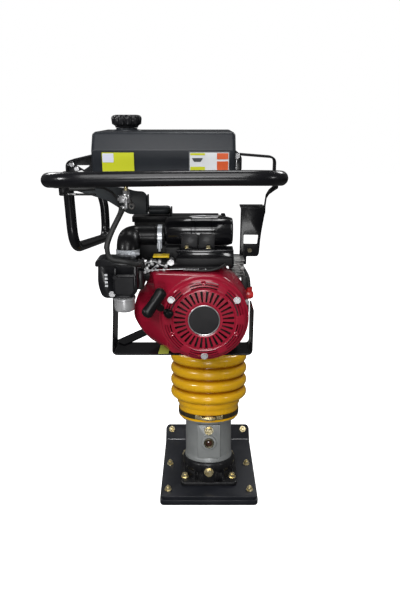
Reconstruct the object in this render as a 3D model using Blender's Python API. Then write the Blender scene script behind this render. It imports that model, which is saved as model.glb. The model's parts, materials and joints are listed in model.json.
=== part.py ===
"""Jumping jack tamping rammer, built in metres with +Z up and +Y the way the machine travels.

The origin lies on the ground under the foot casting. The leg leans forward by LEAN.
"""

import math

import bmesh
import bpy
from mathutils import Matrix, Vector

# Driving dimensions, metres and degrees.
GAP = 0.0003
LEAN = 11.0
LEG_BASE = (0.0, 0.0, 0.060)
SHOE_HALF = 0.1425
SHOE_BACK = -0.130
SHOE_FOLD = 0.185
TOE = 0.228
LINER_TOP = 0.017
PLATE_TOP = 0.028
CUP_TOP = 0.0255
DRAIN_FACE = -0.080
DRAIN_Z = 0.079
LEG_FACE = -0.0755
PLUG_Z = 0.127
SIGHT_Z = 0.089
BELLOWS_CRESTS = (0.2285, 0.2645, 0.3005, 0.3365)
AXIS_X = -0.017
AXIS_Z = 0.638
MODULE = 0.00225
GEAR_TEETH = 60
PINION_TEETH = 12
THROW = 0.030
GEAR_Z = AXIS_Z - math.sqrt((MODULE * (GEAR_TEETH + PINION_TEETH) / 2.0) ** 2 - AXIS_X ** 2)
HANDLE_RADIUS = 0.0138
HANDLE_X = (-0.312, 0.126)
HANDLE_Y = (-0.472, 0.130)
HANDLE_Z = (0.9705, 0.8995)
TANK_X = (-0.2325, 0.042)
TANK_TOP = 1.0455
TANK_Y = (-0.388, -0.185)
CAP_AT = (-0.175, -0.285)
TAP_AT = (-0.180, -0.300)
TAP_LEVER_Z = 0.9125
STRAP_Y = -0.252
THROTTLE_AT = (-0.300, -0.345)
FAN_FACE = -0.286
PULL_AXIS = (-0.60, -0.45, 0.66)
PULL_REACH = 0.050
ROPE_SEAT = (-0.0955, -0.3075, 0.656)
CANISTER_LEFT = -0.107
CANISTER_Y = -0.190
CANISTER_Z = 0.8184
ELBOW_Z = 0.807

for old in list(bpy.data.objects):
    bpy.data.objects.remove(old, do_unlink=True)


def material(name, colour, roughness, metallic):
    made = bpy.data.materials.new(name)
    made.use_nodes = True
    shader = made.node_tree.nodes["Principled BSDF"]
    shader.inputs["Base Color"].default_value = (*colour, 1.0)
    shader.inputs["Roughness"].default_value = roughness
    shader.inputs["Metallic"].default_value = metallic
    return made


LOOKS = {
    "black": ((0.012, 0.012, 0.013), 0.35, 0.0),
    "steel": ((0.02, 0.02, 0.022), 0.45, 0.6),
    "zinc": ((0.62, 0.52, 0.28), 0.32, 1.0),
    "alloy": ((0.42, 0.42, 0.41), 0.42, 1.0),
    "red": ((0.24, 0.006, 0.018), 0.25, 0.0),
    "amber": ((0.86, 0.42, 0.012), 0.35, 0.0),
    "rubber": ((0.018, 0.018, 0.018), 0.65, 0.0),
    "tank": ((0.028, 0.029, 0.031), 0.5, 0.0),
    "silver": ((0.6, 0.6, 0.6), 0.3, 1.0),
    "glass": ((0.16, 0.03, 0.02), 0.12, 0.0),
    "spring": ((0.2, 0.2, 0.22), 0.4, 1.0),
}


def finish(name, bm, look, location, rotation=None, parent=None, smooth=40.0):
    """Turns a bmesh into a named object with one material."""
    bmesh.ops.remove_doubles(bm, verts=bm.verts[:], dist=1e-6)
    bmesh.ops.recalc_face_normals(bm, faces=bm.faces[:])
    mesh = bpy.data.meshes.new(name)
    for face in bm.faces:
        face.smooth = True
    for edge in bm.edges:
        sharp = len(edge.link_faces) == 2 and edge.calc_face_angle(0.0) > math.radians(smooth)
        edge.smooth = not sharp
    bm.to_mesh(mesh)
    bm.free()
    colour, roughness, metallic = LOOKS[look]
    mesh.materials.append(material(name + "_surface", colour, roughness, metallic))
    made = bpy.data.objects.new(name, mesh)
    bpy.context.scene.collection.objects.link(made)
    made.location = location
    if rotation is not None:
        made.rotation_euler = rotation
    made.parent = parent
    return made


def empty(name, location, rotation=(0.0, 0.0, 0.0)):
    made = bpy.data.objects.new(name, None)
    bpy.context.scene.collection.objects.link(made)
    made.location = location
    made.rotation_euler = rotation
    return made


LEG = empty("leg_axis", LEG_BASE, (math.radians(-LEAN), 0.0, 0.0))


def aim(direction):
    return Vector(direction).to_track_quat("Z", "Y").to_euler()


ALONG_Y = aim((0.0, 1.0, 0.0))
ALONG_X = aim((1.0, 0.0, 0.0))


def lathe(name, profile, look, location, rotation=None, parent=None, steps=32, closed=False):
    """Spins (radius, height) points about local Z."""
    bm = bmesh.new()
    verts = [bm.verts.new((r, 0.0, h)) for r, h in profile]
    edges = [bm.edges.new(pair) for pair in zip(verts, verts[1:])]
    if closed:
        edges.append(bm.edges.new((verts[-1], verts[0])))
    bmesh.ops.spin(
        bm, geom=verts + edges, axis=(0, 0, 1), cent=(0, 0, 0), steps=steps,
        angle=2.0 * math.pi, use_merge=True,
    )
    return finish(name, bm, look, location, rotation, parent)


def rod(name, radius, start, end, look, parent=None, steps=20, chamfer=0.0):
    """A round bar from start to end."""
    a = Vector(start)
    b = Vector(end)
    length = (b - a).length
    c = chamfer
    profile = [(0.0, 0.0), (radius - c, 0.0), (radius, c), (radius, length - c), (radius - c, length),
               (0.0, length)]
    if c == 0.0:
        profile = [(0.0, 0.0), (radius, 0.0), (radius, length), (0.0, length)]
    return lathe(name, profile, look, a, aim(b - a), parent, steps)


def ring(name, inner, outer, start, end, look, parent=None, steps=32):
    """A round tube from start to end."""
    a = Vector(start)
    b = Vector(end)
    length = (b - a).length
    profile = [(inner, 0.0), (outer, 0.0), (outer, length), (inner, length)]
    return lathe(name, profile, look, a, aim(b - a), parent, steps, closed=True)


def box(name, low, high, look, bevel=0.0, parent=None, rotation=None, segments=1):
    """A block between two corners, with bevelled edges."""
    centre = [(p + q) / 2.0 for p, q in zip(low, high)]
    size = [q - p for p, q in zip(low, high)]
    bm = bmesh.new()
    bmesh.ops.create_cube(bm, size=1.0)
    bmesh.ops.scale(bm, vec=size, verts=bm.verts[:])
    if bevel > 0.0:
        bmesh.ops.bevel(bm, geom=bm.edges[:], offset=bevel, segments=segments, profile=0.5, affect="EDGES")
    return finish(name, bm, look, centre, rotation, parent)


def prism(name, outline, low, high, look, plane="XZ", bevel=0.0, parent=None, location=(0, 0, 0)):
    """Extrudes a flat outline from low to high across the given plane."""
    place = {
        "XZ": lambda p, t: (p[0], t, p[1]),
        "YZ": lambda p, t: (t, p[0], p[1]),
        "XY": lambda p, t: (p[0], p[1], t),
    }[plane]
    bm = bmesh.new()
    verts = [bm.verts.new(place(p, low)) for p in outline]
    face = bm.faces.new(verts)
    shift = Vector(place((0.0, 0.0), high - low))
    made = bmesh.ops.extrude_face_region(bm, geom=[face], use_keep_orig=True)
    top = [v for v in made["geom"] if isinstance(v, bmesh.types.BMVert)]
    bmesh.ops.translate(bm, vec=shift, verts=top)
    bmesh.ops.recalc_face_normals(bm, faces=bm.faces[:])
    if bevel > 0.0:
        rims = [e for e in bm.edges if e.calc_face_angle(0.0) > math.radians(50)]
        bmesh.ops.bevel(bm, geom=rims, offset=bevel, segments=1, profile=0.5, affect="EDGES")
    return finish(name, bm, look, location, None, parent)


def fillet(points, radius, steps=5, cyclic=False):
    """Rounds the corners of a path of straight runs."""
    pts = [Vector(p) for p in points]
    count = len(pts)
    path = []
    for i, p in enumerate(pts):
        if not cyclic and i in (0, count - 1):
            path.append(p)
            continue
        before = pts[i - 1] - p
        after = pts[(i + 1) % count] - p
        reach = min(radius, before.length * 0.49, after.length * 0.49)
        a = p + before.normalized() * reach
        b = p + after.normalized() * reach
        for k in range(steps + 1):
            t = k / steps
            path.append(a * (1 - t) ** 2 + p * 2 * t * (1 - t) + b * t ** 2)
    return path


def frames(path, cyclic):
    """Carries one cross direction along the path."""
    count = len(path)
    tangents = []
    for i in range(count):
        if cyclic:
            tangents.append((path[(i + 1) % count] - path[i - 1]).normalized())
        else:
            tangents.append((path[min(i + 1, count - 1)] - path[max(i - 1, 0)]).normalized())
    side = Vector((0.0, 1.0, 0.0))
    if abs(tangents[0].z) < 0.9:
        side = tangents[0].cross(Vector((0, 0, 1))).normalized()
    out = []
    for t in tangents:
        side = (side - t * side.dot(t)).normalized()
        out.append((t, side, t.cross(side)))
    return out


def sweep(name, path, section, look, cyclic=False, parent=None):
    """Carries a closed section of (side, up) points along a path."""
    origin = path[0].copy()
    bm = bmesh.new()
    loops = []
    for p, (_, side, up) in zip(path, frames(path, cyclic)):
        loops.append([bm.verts.new(p - origin + side * a + up * b) for a, b in section])
    pairs = list(zip(loops, loops[1:]))
    if cyclic:
        pairs.append((loops[-1], loops[0]))
    n = len(section)
    for first, second in pairs:
        for k in range(n):
            bm.faces.new((first[k], first[(k + 1) % n], second[(k + 1) % n], second[k]))
    if not cyclic:
        bm.faces.new(loops[0])
        bm.faces.new(loops[-1])
    return finish(name, bm, look, origin, None, parent)


def circle(radius, count):
    turn = 2.0 * math.pi / count
    return [(radius * math.cos(i * turn), radius * math.sin(i * turn)) for i in range(count)]


def pipe(name, points, radius, look, bend=0.03, steps=5, count=10, cyclic=False, parent=None):
    path = fillet(points, bend, steps, cyclic)
    return sweep(name, path, circle(radius, count), look, cyclic, parent)


def strap(name, points, width, thickness, look, bend=0.02, steps=4, parent=None):
    """A flat bar bent along a path."""
    w = width / 2.0
    t = thickness / 2.0
    return sweep(name, fillet(points, bend, steps), [(-w, -t), (w, -t), (w, t), (-w, t)], look, False, parent)


def tool(made):
    """Marks an object as a cutting or joining tool only."""
    made.hide_render = True
    made.display_type = "WIRE"
    return made


def combine(target, operand, operation):
    step = target.modifiers.new(operand.name, "BOOLEAN")
    step.operation = operation
    step.solver = "EXACT"
    step.object = tool(operand)
    return target


def cut(target, *operands):
    for operand in operands:
        combine(target, operand, "DIFFERENCE")
    return target


def join(target, *operands):
    for operand in operands:
        combine(target, operand, "UNION")
    return target


def bolt(name, seat, axis, across, head, shank, reach, look="zinc", parent=None):
    """A hexagon bolt whose washer face sits just off the seat."""
    a = Vector(axis).normalized()
    r = across / math.sqrt(3.0)
    bm = bmesh.new()
    start = Matrix.Translation((0, 0, GAP))
    lathe_points = [(0.0, -reach), (shank, -reach), (shank, 0.0), (r * 1.12, 0.0), (r * 1.12, 0.0015),
                    (r * 0.9, 0.0015)]
    verts = [bm.verts.new((p, 0.0, h)) for p, h in lathe_points]
    edges = [bm.edges.new(pair) for pair in zip(verts, verts[1:])]
    bmesh.ops.spin(bm, geom=verts + edges, axis=(0, 0, 1), cent=(0, 0, 0), steps=6,
                   angle=2.0 * math.pi, use_merge=True)
    bmesh.ops.remove_doubles(bm, verts=bm.verts[:], dist=1e-6)
    rim = [e for e in bm.edges if e.is_boundary]
    top = bmesh.ops.extrude_edge_only(bm, edges=rim)
    lifted = [v for v in top["geom"] if isinstance(v, bmesh.types.BMVert)]
    bmesh.ops.translate(bm, vec=(0, 0, head), verts=lifted)
    bmesh.ops.contextual_create(bm, geom=[e for e in bm.edges if e.is_boundary])
    bmesh.ops.transform(bm, matrix=start, verts=bm.verts[:])
    return finish(name, bm, look, seat, aim(a), parent)


def gear(name, teeth, low, high, look, centre, phase):
    """A spur gear about world Y with straight sided teeth; phase aims one tooth."""
    pitch = MODULE * teeth / 2.0
    root = pitch - 1.25 * MODULE
    tip = pitch + 0.9 * MODULE
    step = 2.0 * math.pi / teeth
    outline = []
    for i in range(teeth):
        for part, r in ((-0.34, root), (-0.12, tip), (0.12, tip), (0.34, root)):
            angle = phase + (i + part) * step
            outline.append((r * math.cos(angle), r * math.sin(angle)))
    return prism(name, outline, low, high, look, "XZ", 0.0, None, (centre[0], 0.0, centre[1]))


def helix(name, radius, wire, low, high, turns, look):
    """A coil spring about the leg axis."""
    count = turns * 9
    path = []
    for i in range(count + 1):
        angle = 2.0 * math.pi * i / 9
        z = low + (high - low) * i / count
        path.append(Vector((radius * math.cos(angle), radius * math.sin(angle), z)))
    return sweep(name, path, circle(wire, 5), look, False, LEG)


def build_shoe():
    h = SHOE_HALF
    liner = prism("shoe_liner", [(SHOE_BACK, 0.0), (SHOE_FOLD, 0.0), (TOE, 0.046), (TOE - 0.010, 0.057),
                  (SHOE_FOLD - 0.006, LINER_TOP), (SHOE_BACK, LINER_TOP)], -h, h, "black", "YZ", 0.0015)
    plate = prism("shoe_plate", [(SHOE_BACK + 0.004, LINER_TOP + GAP), (SHOE_FOLD - 0.0065, LINER_TOP + GAP),
                  (TOE - 0.0105, 0.0577), (TOE - 0.0185, 0.0657), (SHOE_FOLD - 0.011, PLATE_TOP),
                  (SHOE_BACK + 0.004, PLATE_TOP)], -h + 0.003, h - 0.003, "steel", "YZ", 0.001)
    for side, x in (("left", -0.120), ("right", 0.120)):
        for label, y in (("rear", -0.094), ("mid", 0.034)):
            hole = rod(f"cut_shoe_{label}_{side}", 0.0058, (x, y, 0.010), (x, y, 0.040), "black", None, 12)
            cut(plate, hole)
            cut(liner, hole)
            bolt(f"shoe_bolt_{label}_{side}", (x, y, PLATE_TOP), (0, 0, 1), 0.016, 0.009, 0.005, 0.016)


def build_foot():
    base = box("foot_casting", (-0.0845, -0.0725, PLATE_TOP + GAP), (0.0845, 0.0845, 0.044), "black", 0.004)
    cup = lathe("join_cup", [(0.0, -0.006), (0.073, -0.006), (0.078, 0.005), (0.078, 0.019), (0.074, CUP_TOP),
                (0.0, CUP_TOP)], "black", (0, 0, 0), None, LEG, 32)
    root = rod("join_root", 0.0735, (0, 0, 0.036), (0, 0, 0.064), "black", None, 32, 0.004)
    join(base, root, cup)
    for name, low, high in (
        ("join_rib_x", (-0.083, -0.006, 0.035), (0.083, 0.006, 0.070)),
        ("join_rib_y", (-0.006, -0.071, 0.035), (0.006, 0.083, 0.070)),
        ("join_pad", (-0.021, DRAIN_FACE, 0.040), (0.021, -0.045, 0.090)),
    ):
        join(base, box(name, low, high, "black", 0.003))
    drain = rod("cut_drain", 0.0068, (0, DRAIN_FACE - 0.01, DRAIN_Z), (0, DRAIN_FACE + 0.020, DRAIN_Z),
                "black", None, 12)
    cut(base, drain)
    bolt("drain_bolt", (0, DRAIN_FACE, DRAIN_Z), (0, -1, 0), 0.019, 0.009, 0.006, 0.016)
    build_leg()


def build_leg():
    leg = lathe("leg_cylinder", [(0.057, CUP_TOP + GAP), (0.0715, CUP_TOP + GAP), (0.0715, 0.036),
                (0.069, 0.040), (0.069, 0.145), (0.0845, 0.150), (0.0845, 0.178), (0.057, 0.178)], "alloy",
                (0, 0, 0), None, LEG, 32, True)
    pad = box("join_panel", (-0.031, LEG_FACE, 0.045), (0.031, -0.060, 0.143), "alloy", 0.003, LEG)
    join(leg, pad)
    for label, z, r in (("plug", PLUG_Z, 0.0066), ("sight", SIGHT_Z, 0.0108)):
        hole = rod(f"cut_{label}", r, (0, -0.090, z), (0, LEG_FACE + 0.0095, z), "black", LEG, 16)
        cut(leg, hole)
    bolt("oil_plug", (0, LEG_FACE, PLUG_Z), (0, -1, 0), 0.016, 0.008, 0.006, 0.008, "zinc", LEG)
    lathe("sight_glass", [(0.0, -0.008), (0.0105, -0.008), (0.0105, GAP), (0.0185, GAP), (0.0185, 0.006),
          (0.0125, 0.0075), (0.011, 0.0045), (0.0, 0.0045)], "glass", (0, LEG_FACE, SIGHT_Z),
          aim((0, -1, 0)), LEG, 20)
    tube = CUP_TOP + GAP
    lathe("spring_tube", [(0.0, tube), (0.0525, tube), (0.0525, 0.360), (0.046, 0.360), (0.046, 0.050),
          (0.0, 0.050)], "silver", (0, 0, 0), None, LEG, 28)
    helix("lower_spring", 0.038, 0.0035, 0.0545, 0.138, 4, "spring")
    helix("upper_spring", 0.038, 0.0035, 0.277, 0.340, 3, "spring")


def bellows_profile():
    """Outer face of the bellows going up, then the inner face coming down."""
    wall = 0.003
    outer = [(0.0895, 0.156), (0.0895, 0.188), (0.095, 0.196), (0.095, 0.204)]
    for centre in BELLOWS_CRESTS:
        outer += [(0.106, centre - 0.0135), (0.1135, centre - 0.006), (0.1135, centre + 0.006),
                  (0.106, centre + 0.0135), (0.097, centre + 0.0165)]
    outer += [(0.0865, 0.3605), (0.0865, 0.382)]
    inner = [(r - wall, h) for r, h in reversed(outer)]
    return outer + inner


def build_sleeve():
    lathe("bellows", bellows_profile(), "amber", (0, 0, 0), None, LEG, 24, True)
    ring("lower_clamp", 0.0898, 0.0940, (0, 0, 0.163), (0, 0, 0.179), "steel", LEG, 24)
    ring("upper_clamp", 0.0868, 0.0905, (0, 0, 0.364), (0, 0, 0.377), "steel", LEG, 24)
    ring("guide_cylinder", 0.0535, 0.0615, (0, 0, 0.235), (0, 0, 0.405), "silver", LEG, 28)
    piston = lathe("piston_rod", [(0.0, 0.196), (0.030, 0.196), (0.030, 0.204), (0.044, 0.206),
                   (0.044, 0.222), (0.014, 0.226), (0.011, 0.240), (0.011, 0.452), (0.0, 0.452)], "silver",
                   (0, 0, 0), None, LEG, 20)
    eye = rod("join_eye", 0.019, (0, 0.0795, GEAR_Z - THROW), (0, 0.1025, GEAR_Z - THROW), "silver")
    shank = rod("join_shank", 0.010, (0, 0, 0.440), (0, 0, 0.474), "silver", LEG)
    join(piston, shank, eye)
    cut(piston, rod("cut_eye", 0.0095, (0, 0.07, GEAR_Z - THROW), (0, 0.11, GEAR_Z - THROW), "silver"))


def case_outline(grow):
    """Round gear chamber with a smaller round lobe over the pinion."""
    big = 0.0745 + grow
    small = 0.021 + grow
    lobe = math.atan2(AXIS_Z - GEAR_Z, AXIS_X)
    spread = math.acos((big - small) / math.hypot(AXIS_X, AXIS_Z - GEAR_Z))
    points = []
    for i in range(25):
        angle = lobe + spread + (2.0 * math.pi - 2.0 * spread) * i / 24
        points.append((big * math.cos(angle), GEAR_Z + big * math.sin(angle)))
    for i in range(9):
        angle = lobe - spread + 2.0 * spread * i / 8
        points.append((AXIS_X + small * math.cos(angle), AXIS_Z + small * math.sin(angle)))
    return points


def build_case():
    case = prism("crankcase", case_outline(0.009), 0.030, 0.172, "alloy", "XZ", 0.002)
    neck = lathe("join_neck", [(0.0, 0.345), (0.0815, 0.345), (0.0815, 0.388), (0.078, 0.395), (0.074, 0.47),
                 (0.0, 0.47)], "alloy", (0, 0, 0), None, LEG, 32)
    join(case, neck)
    pocket = prism("cut_chamber", case_outline(0.0), 0.038, 0.1725, "alloy", "XZ")
    bore = rod("cut_guide", 0.0618, (0, 0, 0.33), (0, 0, 0.4055), "alloy", LEG, 28)
    throat = rod("cut_throat", 0.030, (0, 0, 0.39), (0, 0, 0.48), "alloy", LEG, 20)
    shaft = rod("cut_shaft", 0.0125, (AXIS_X, 0.02, AXIS_Z), (AXIS_X, 0.06, AXIS_Z), "alloy")
    cut(case, pocket, bore, throat, shaft)
    prism("crankcase_cover", case_outline(0.009), 0.172 + GAP, 0.184, "alloy", "XZ", 0.003)
    contact = math.atan2(AXIS_Z - GEAR_Z, AXIS_X)
    wheel = gear("crank_gear", GEAR_TEETH, 0.045, 0.059, "spring", (0.0, GEAR_Z), contact)
    pin = rod("join_pin", 0.009, (0, 0.050, GEAR_Z - THROW), (0, 0.0785, GEAR_Z - THROW), "spring", None, 16)
    axle = rod("join_axle", 0.0097, (0, 0.0385, GEAR_Z), (0, 0.064, GEAR_Z), "spring", None, 16)
    join(wheel, pin, axle)
    ring("clutch_housing", 0.056, 0.064, (AXIS_X, -0.030, AXIS_Z), (AXIS_X, 0.0297, AXIS_Z), "alloy")
    drum = lathe("clutch_drum", [(0.0, 0.0), (0.050, 0.0), (0.050, 0.034), (0.010, 0.038), (0.010, 0.064),
                 (0.0, 0.064)], "spring", (AXIS_X, -0.016, AXIS_Z), ALONG_Y)
    phase = contact + math.pi + math.pi / PINION_TEETH
    pinion = gear("join_pinion", PINION_TEETH, 0.044, 0.060, "spring", (AXIS_X, AXIS_Z), phase)
    join(drum, pinion)


def build_engine():
    block = box("engine_block", (-0.090, -0.205, 0.556), (0.062, -0.0305, 0.686), "alloy", 0.008)
    cut(block, box("cut_crank_room", (-0.076, -0.190, 0.570), (0.048, -0.046, 0.672), "alloy"))
    cut(block, rod("cut_crank", 0.0135, (AXIS_X, -0.22, AXIS_Z), (AXIS_X, -0.02, AXIS_Z), "alloy"))
    rod("engine_shaft", 0.0125, (AXIS_X, -0.2055, AXIS_Z), (AXIS_X, -0.018, AXIS_Z), "silver", None, 16)
    barrel = box("cylinder_barrel", (-0.050, -0.140, 0.6863), (0.016, -0.065, 0.806), "alloy", 0.003)
    for i in range(5):
        z = 0.706 + 0.019 * i
        join(barrel, box(f"join_fin_{i}", (-0.072, -0.160, z), (0.040, -0.045, z + 0.004), "alloy"))
    box("cylinder_head", (-0.060, -0.150, 0.8063), (0.028, -0.055, 0.838), "alloy", 0.006)
    box("muffler", (-0.075, -0.020, 0.708), (0.040, 0.055, 0.805), "alloy", 0.015, None, None, 2)
    pipe("spark_boot", [(0.0905, -0.196, 0.657), (0.0905, -0.194, 0.690), (0.060, -0.150, 0.745)], 0.0085,
         "red", 0.02, 4, 10)
    build_fan()
    build_recoil()


def build_fan():
    outline = [(-0.146, 0.748), (0.022, 0.745), (0.060, 0.720), (0.085, 0.682), (0.0915, 0.636),
               (0.080, 0.585), (0.045, 0.548), (-0.112, 0.548), (-0.140, 0.560), (-0.164, 0.5865),
               (-0.183, 0.624), (-0.1795, 0.653), (-0.170, 0.680), (-0.1505, 0.6985)]
    housing = prism("fan_housing", outline, FAN_FACE, -0.2065, "red", "XZ", 0.005)
    room = rod("cut_fan_room", 0.083, (AXIS_X, -0.300, AXIS_Z), (AXIS_X, -0.222, AXIS_Z), "red", None, 36)
    hole = rod("cut_fan_shaft", 0.020, (AXIS_X, -0.25, AXIS_Z), (AXIS_X, -0.19, AXIS_Z), "red")
    cut(housing, room, hole)
    lathe("flywheel", [(0.0, 0.0), (0.030, 0.0), (0.040, 0.012), (0.074, 0.014), (0.0795, 0.030),
          (0.074, 0.034), (0.030, 0.022), (0.0, 0.022)], "alloy", (AXIS_X, -0.2405, AXIS_Z), aim((0, -1, 0)),
          None, 32)


def build_recoil():
    cover = lathe("recoil_cover", [(0.0, 0.0), (0.097, 0.0), (0.1015, 0.004), (0.1015, 0.010),
                  (0.098, 0.0135), (0.074, 0.0157), (0.0, 0.0157)], "red", (AXIS_X, FAN_FACE - GAP, AXIS_Z),
                  aim((0, -1, 0)), None, 40)
    for i in range(16):
        angle = 2.0 * math.pi * (i + 0.5) / 16
        along = Vector((math.cos(angle), 0.0, math.sin(angle)))
        slot = box(f"cut_slot_{i}", (-0.0125, -0.015, -0.003), (0.0125, 0.015, 0.003), "red")
        slot.location = Vector((AXIS_X, -0.294, AXIS_Z)) + along * 0.0555
        slot.rotation_euler = (0.0, -angle, 0.0)
        cut(cover, slot)
    disc = lathe("join_disc", [(0.0, -0.004), (0.035, -0.004), (0.035, 0.002), (0.032, 0.003), (0.0, 0.003)],
                 "red", (AXIS_X, -0.302, AXIS_Z), aim((0, -1, 0)), None, 32)
    join(cover, disc)
    pull = Vector(PULL_AXIS).normalized()
    seat = Vector(ROPE_SEAT)
    bar = Vector((0.55, 0.367, 0.75)).normalized() * 0.0345
    grip = seat + pull * PULL_REACH
    rod("starter_grip", 0.0115, grip - bar, grip + bar, "black", None, 16, 0.004)
    rod("starter_rope", 0.0022, seat, seat + pull * (PULL_REACH - 0.0120), "black", None, 8)


def build_induction():
    box("carb_cover", (-0.248, -0.335, 0.700), (-0.160, -0.285, 0.787), "black", 0.008, None, None, 2)
    rod("float_bowl", 0.0235, (-0.191, -0.318, 0.6995), (-0.191, -0.318, 0.667), "silver", None, 24, 0.005)
    box("carburettor", (-0.214, -0.2845, 0.700), (-0.152, -0.215, 0.752), "silver", 0.005)
    hub = lathe("choke_lever", [(0.0, 0.0), (0.0055, 0.0), (0.0055, 0.005), (0.0, 0.005)], "silver",
                (-0.206, -0.335 - GAP, 0.748), aim((0, -1, 0)), None, 12)
    join(hub, box("join_choke_arm", (-0.208, -0.339, 0.748), (-0.204, -0.336, 0.770), "silver"))
    lathe("air_canister", [(0.0, 0.0), (0.029, 0.0), (0.0325, 0.004), (0.0325, 0.066), (0.034, 0.068),
          (0.034, 0.104), (0.0325, 0.106), (0.0325, 0.153), (0.030, 0.157), (0.0, 0.157)], "black",
          (CANISTER_LEFT, CANISTER_Y, CANISTER_Z), ALONG_X, None, 32)
    left = CANISTER_LEFT - GAP
    pipe("intake_elbow", [(left, CANISTER_Y, ELBOW_Z), (-0.186, CANISTER_Y, ELBOW_Z), (-0.186, -0.246, 0.797),
         (-0.186, -0.246, 0.7525)], 0.0255, "rubber", 0.05, 6, 20)
    ring("elbow_clamp", 0.0258, 0.0282, (-0.1245, CANISTER_Y, ELBOW_Z), (-0.113, CANISTER_Y, ELBOW_Z),
         "silver", None, 24)
    saddle = ring("canister_saddle", 0.0344, 0.0368, (-0.069, CANISTER_Y, CANISTER_Z),
                  (0.0075, CANISTER_Y, CANISTER_Z), "steel")
    cut(saddle, box("cut_saddle", (-0.10, -0.26, CANISTER_Z - 0.006), (0.04, -0.12, 0.870), "steel"))


def build_tank():
    x0, x1 = TANK_X
    y0, y1 = TANK_Y
    top = TANK_TOP
    side = [(y0 + 0.004, 0.955), (y1 - 0.004, 0.955), (y1, 0.960), (y1, 1.012), (y1 - 0.020, top - 0.004),
            (y1 - 0.030, top), (y0 + 0.030, top), (y0 + 0.018, top - 0.004), (y0, 1.014), (y0, 0.960)]
    tank = prism("fuel_tank", side, x0, x1, "tank", "YZ", 0.006)
    x, y = CAP_AT
    join(tank, rod("join_neck_ring", 0.026, (x, y, top - 0.007), (x, y, top + 0.0055), "tank", None, 24))
    lathe("fuel_cap", [(0.0, 0.0), (0.024, 0.0), (0.0275, 0.005), (0.0295, 0.008), (0.031, 0.021),
          (0.028, 0.0245), (0.0, 0.0245)], "black", (x, y, top + 0.0055 + GAP), None, None, 32)
    build_fuel_line()


def build_fuel_line():
    x, y = TAP_AT
    tap = rod("petcock", 0.0060, (x, y, 0.9547), (x, y, 0.886), "silver", None, 14, 0.001)
    join(tap, rod("join_tap_body", 0.0105, (x, y, 0.926), (x, y, 0.899), "silver", None, 14, 0.002))
    front = y - 0.0105 - GAP
    lever = lathe("fuel_lever", [(0.0, 0.0), (0.0065, 0.0), (0.0065, 0.005), (0.0, 0.005)], "black",
                  (x, front, TAP_LEVER_Z), aim((0, -1, 0)), None, 12)
    join(lever, box("join_lever_arm", (x - 0.0025, front - 0.005, TAP_LEVER_Z - 0.024),
                    (x + 0.0025, front - 0.001, TAP_LEVER_Z), "black"))
    pipe("fuel_hose", [(x, y, 0.8840), (-0.184, -0.303, 0.866), (-0.206, -0.330, 0.838),
         (-0.2235, -0.344, 0.814), (-0.216, -0.345, 0.7945), (-0.156, -0.330, 0.7935),
         (-0.1535, -0.277, 0.790), (-0.1535, -0.277, 0.7524)], 0.004, "rubber", 0.03, 4, 8)


def rail(y):
    """Height of the handle's side tubes."""
    share = (y - HANDLE_Y[0]) / (HANDLE_Y[1] - HANDLE_Y[0])
    return HANDLE_Z[0] + (HANDLE_Z[1] - HANDLE_Z[0]) * share


def build_handle():
    left, right = HANDLE_X
    near, far = HANDLE_Y
    loop = [(left, near, rail(near)), (right, near, rail(near)), (right, far, rail(far)),
            (left, far, rail(far))]
    pipe("handle_loop", loop, HANDLE_RADIUS, "black", 0.085, 6, 12, True)
    low = HANDLE_RADIUS + 0.003
    pipe("side_loop", [(left, -0.250, rail(-0.250) - low), (left + 0.006, -0.262, 0.801),
         (left + 0.020, 0.050, 0.758), (left + 0.006, 0.045, rail(0.045) - low)], 0.0116, "black", 0.05,
         5, 10)
    y = STRAP_Y
    foot = rail(y) + HANDLE_RADIUS + 0.0028
    strap("tank_strap_right", [(TANK_X[1] + 0.004, y, 0.9975), (right + 0.007, y, 0.9905),
          (right + 0.007, y, foot)], 0.030, 0.004, "black", 0.012, 3)
    strap("tank_strap_left", [(TANK_X[0] - 0.004, y, 0.9985), (left + 0.0035, y, 0.9815),
          (left + 0.0035, y, foot)], 0.030, 0.004, "black", 0.012, 3)
    build_right_bracket()
    build_left_bracket()


def build_right_bracket():
    outline = [(0.0715, 0.8650), (0.1295, 0.8650), (0.1305, 0.858), (0.1215, 0.800), (0.1185, 0.752),
               (0.1145, 0.7455), (0.088, 0.7455), (0.088, 0.725), (0.0705, 0.725)]
    plate = prism("bracket_right", outline, -0.142, -0.138, "black", "XZ")
    cut(plate, box("cut_window", (0.0798, -0.150, 0.7765), (0.1135, -0.130, 0.800), "black"))
    low = HANDLE_RADIUS + 0.001
    arm = [(-0.142, 0.842), (-0.110, 0.842), (-0.110, 0.865), (-0.135, 0.872), (-0.160, 0.899),
           (-0.212, 0.917), (-0.290, rail(-0.290) - low), (-0.345, rail(-0.345) - low), (-0.345, 0.9350),
           (-0.2885, 0.9230), (-0.200, 0.903), (-0.158, 0.8890), (-0.142, 0.868)]
    join(plate, prism("join_arm", arm, 0.1265, 0.1305, "black", "YZ"))
    join(plate, strap("join_leg", [(0.080, -0.1145, 0.738), (0.080, -0.1145, 0.722), (0.0648, -0.1145, 0.700),
                      (0.0648, -0.1145, 0.640)], 0.050, 0.004, "black", 0.008, 3))


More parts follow.
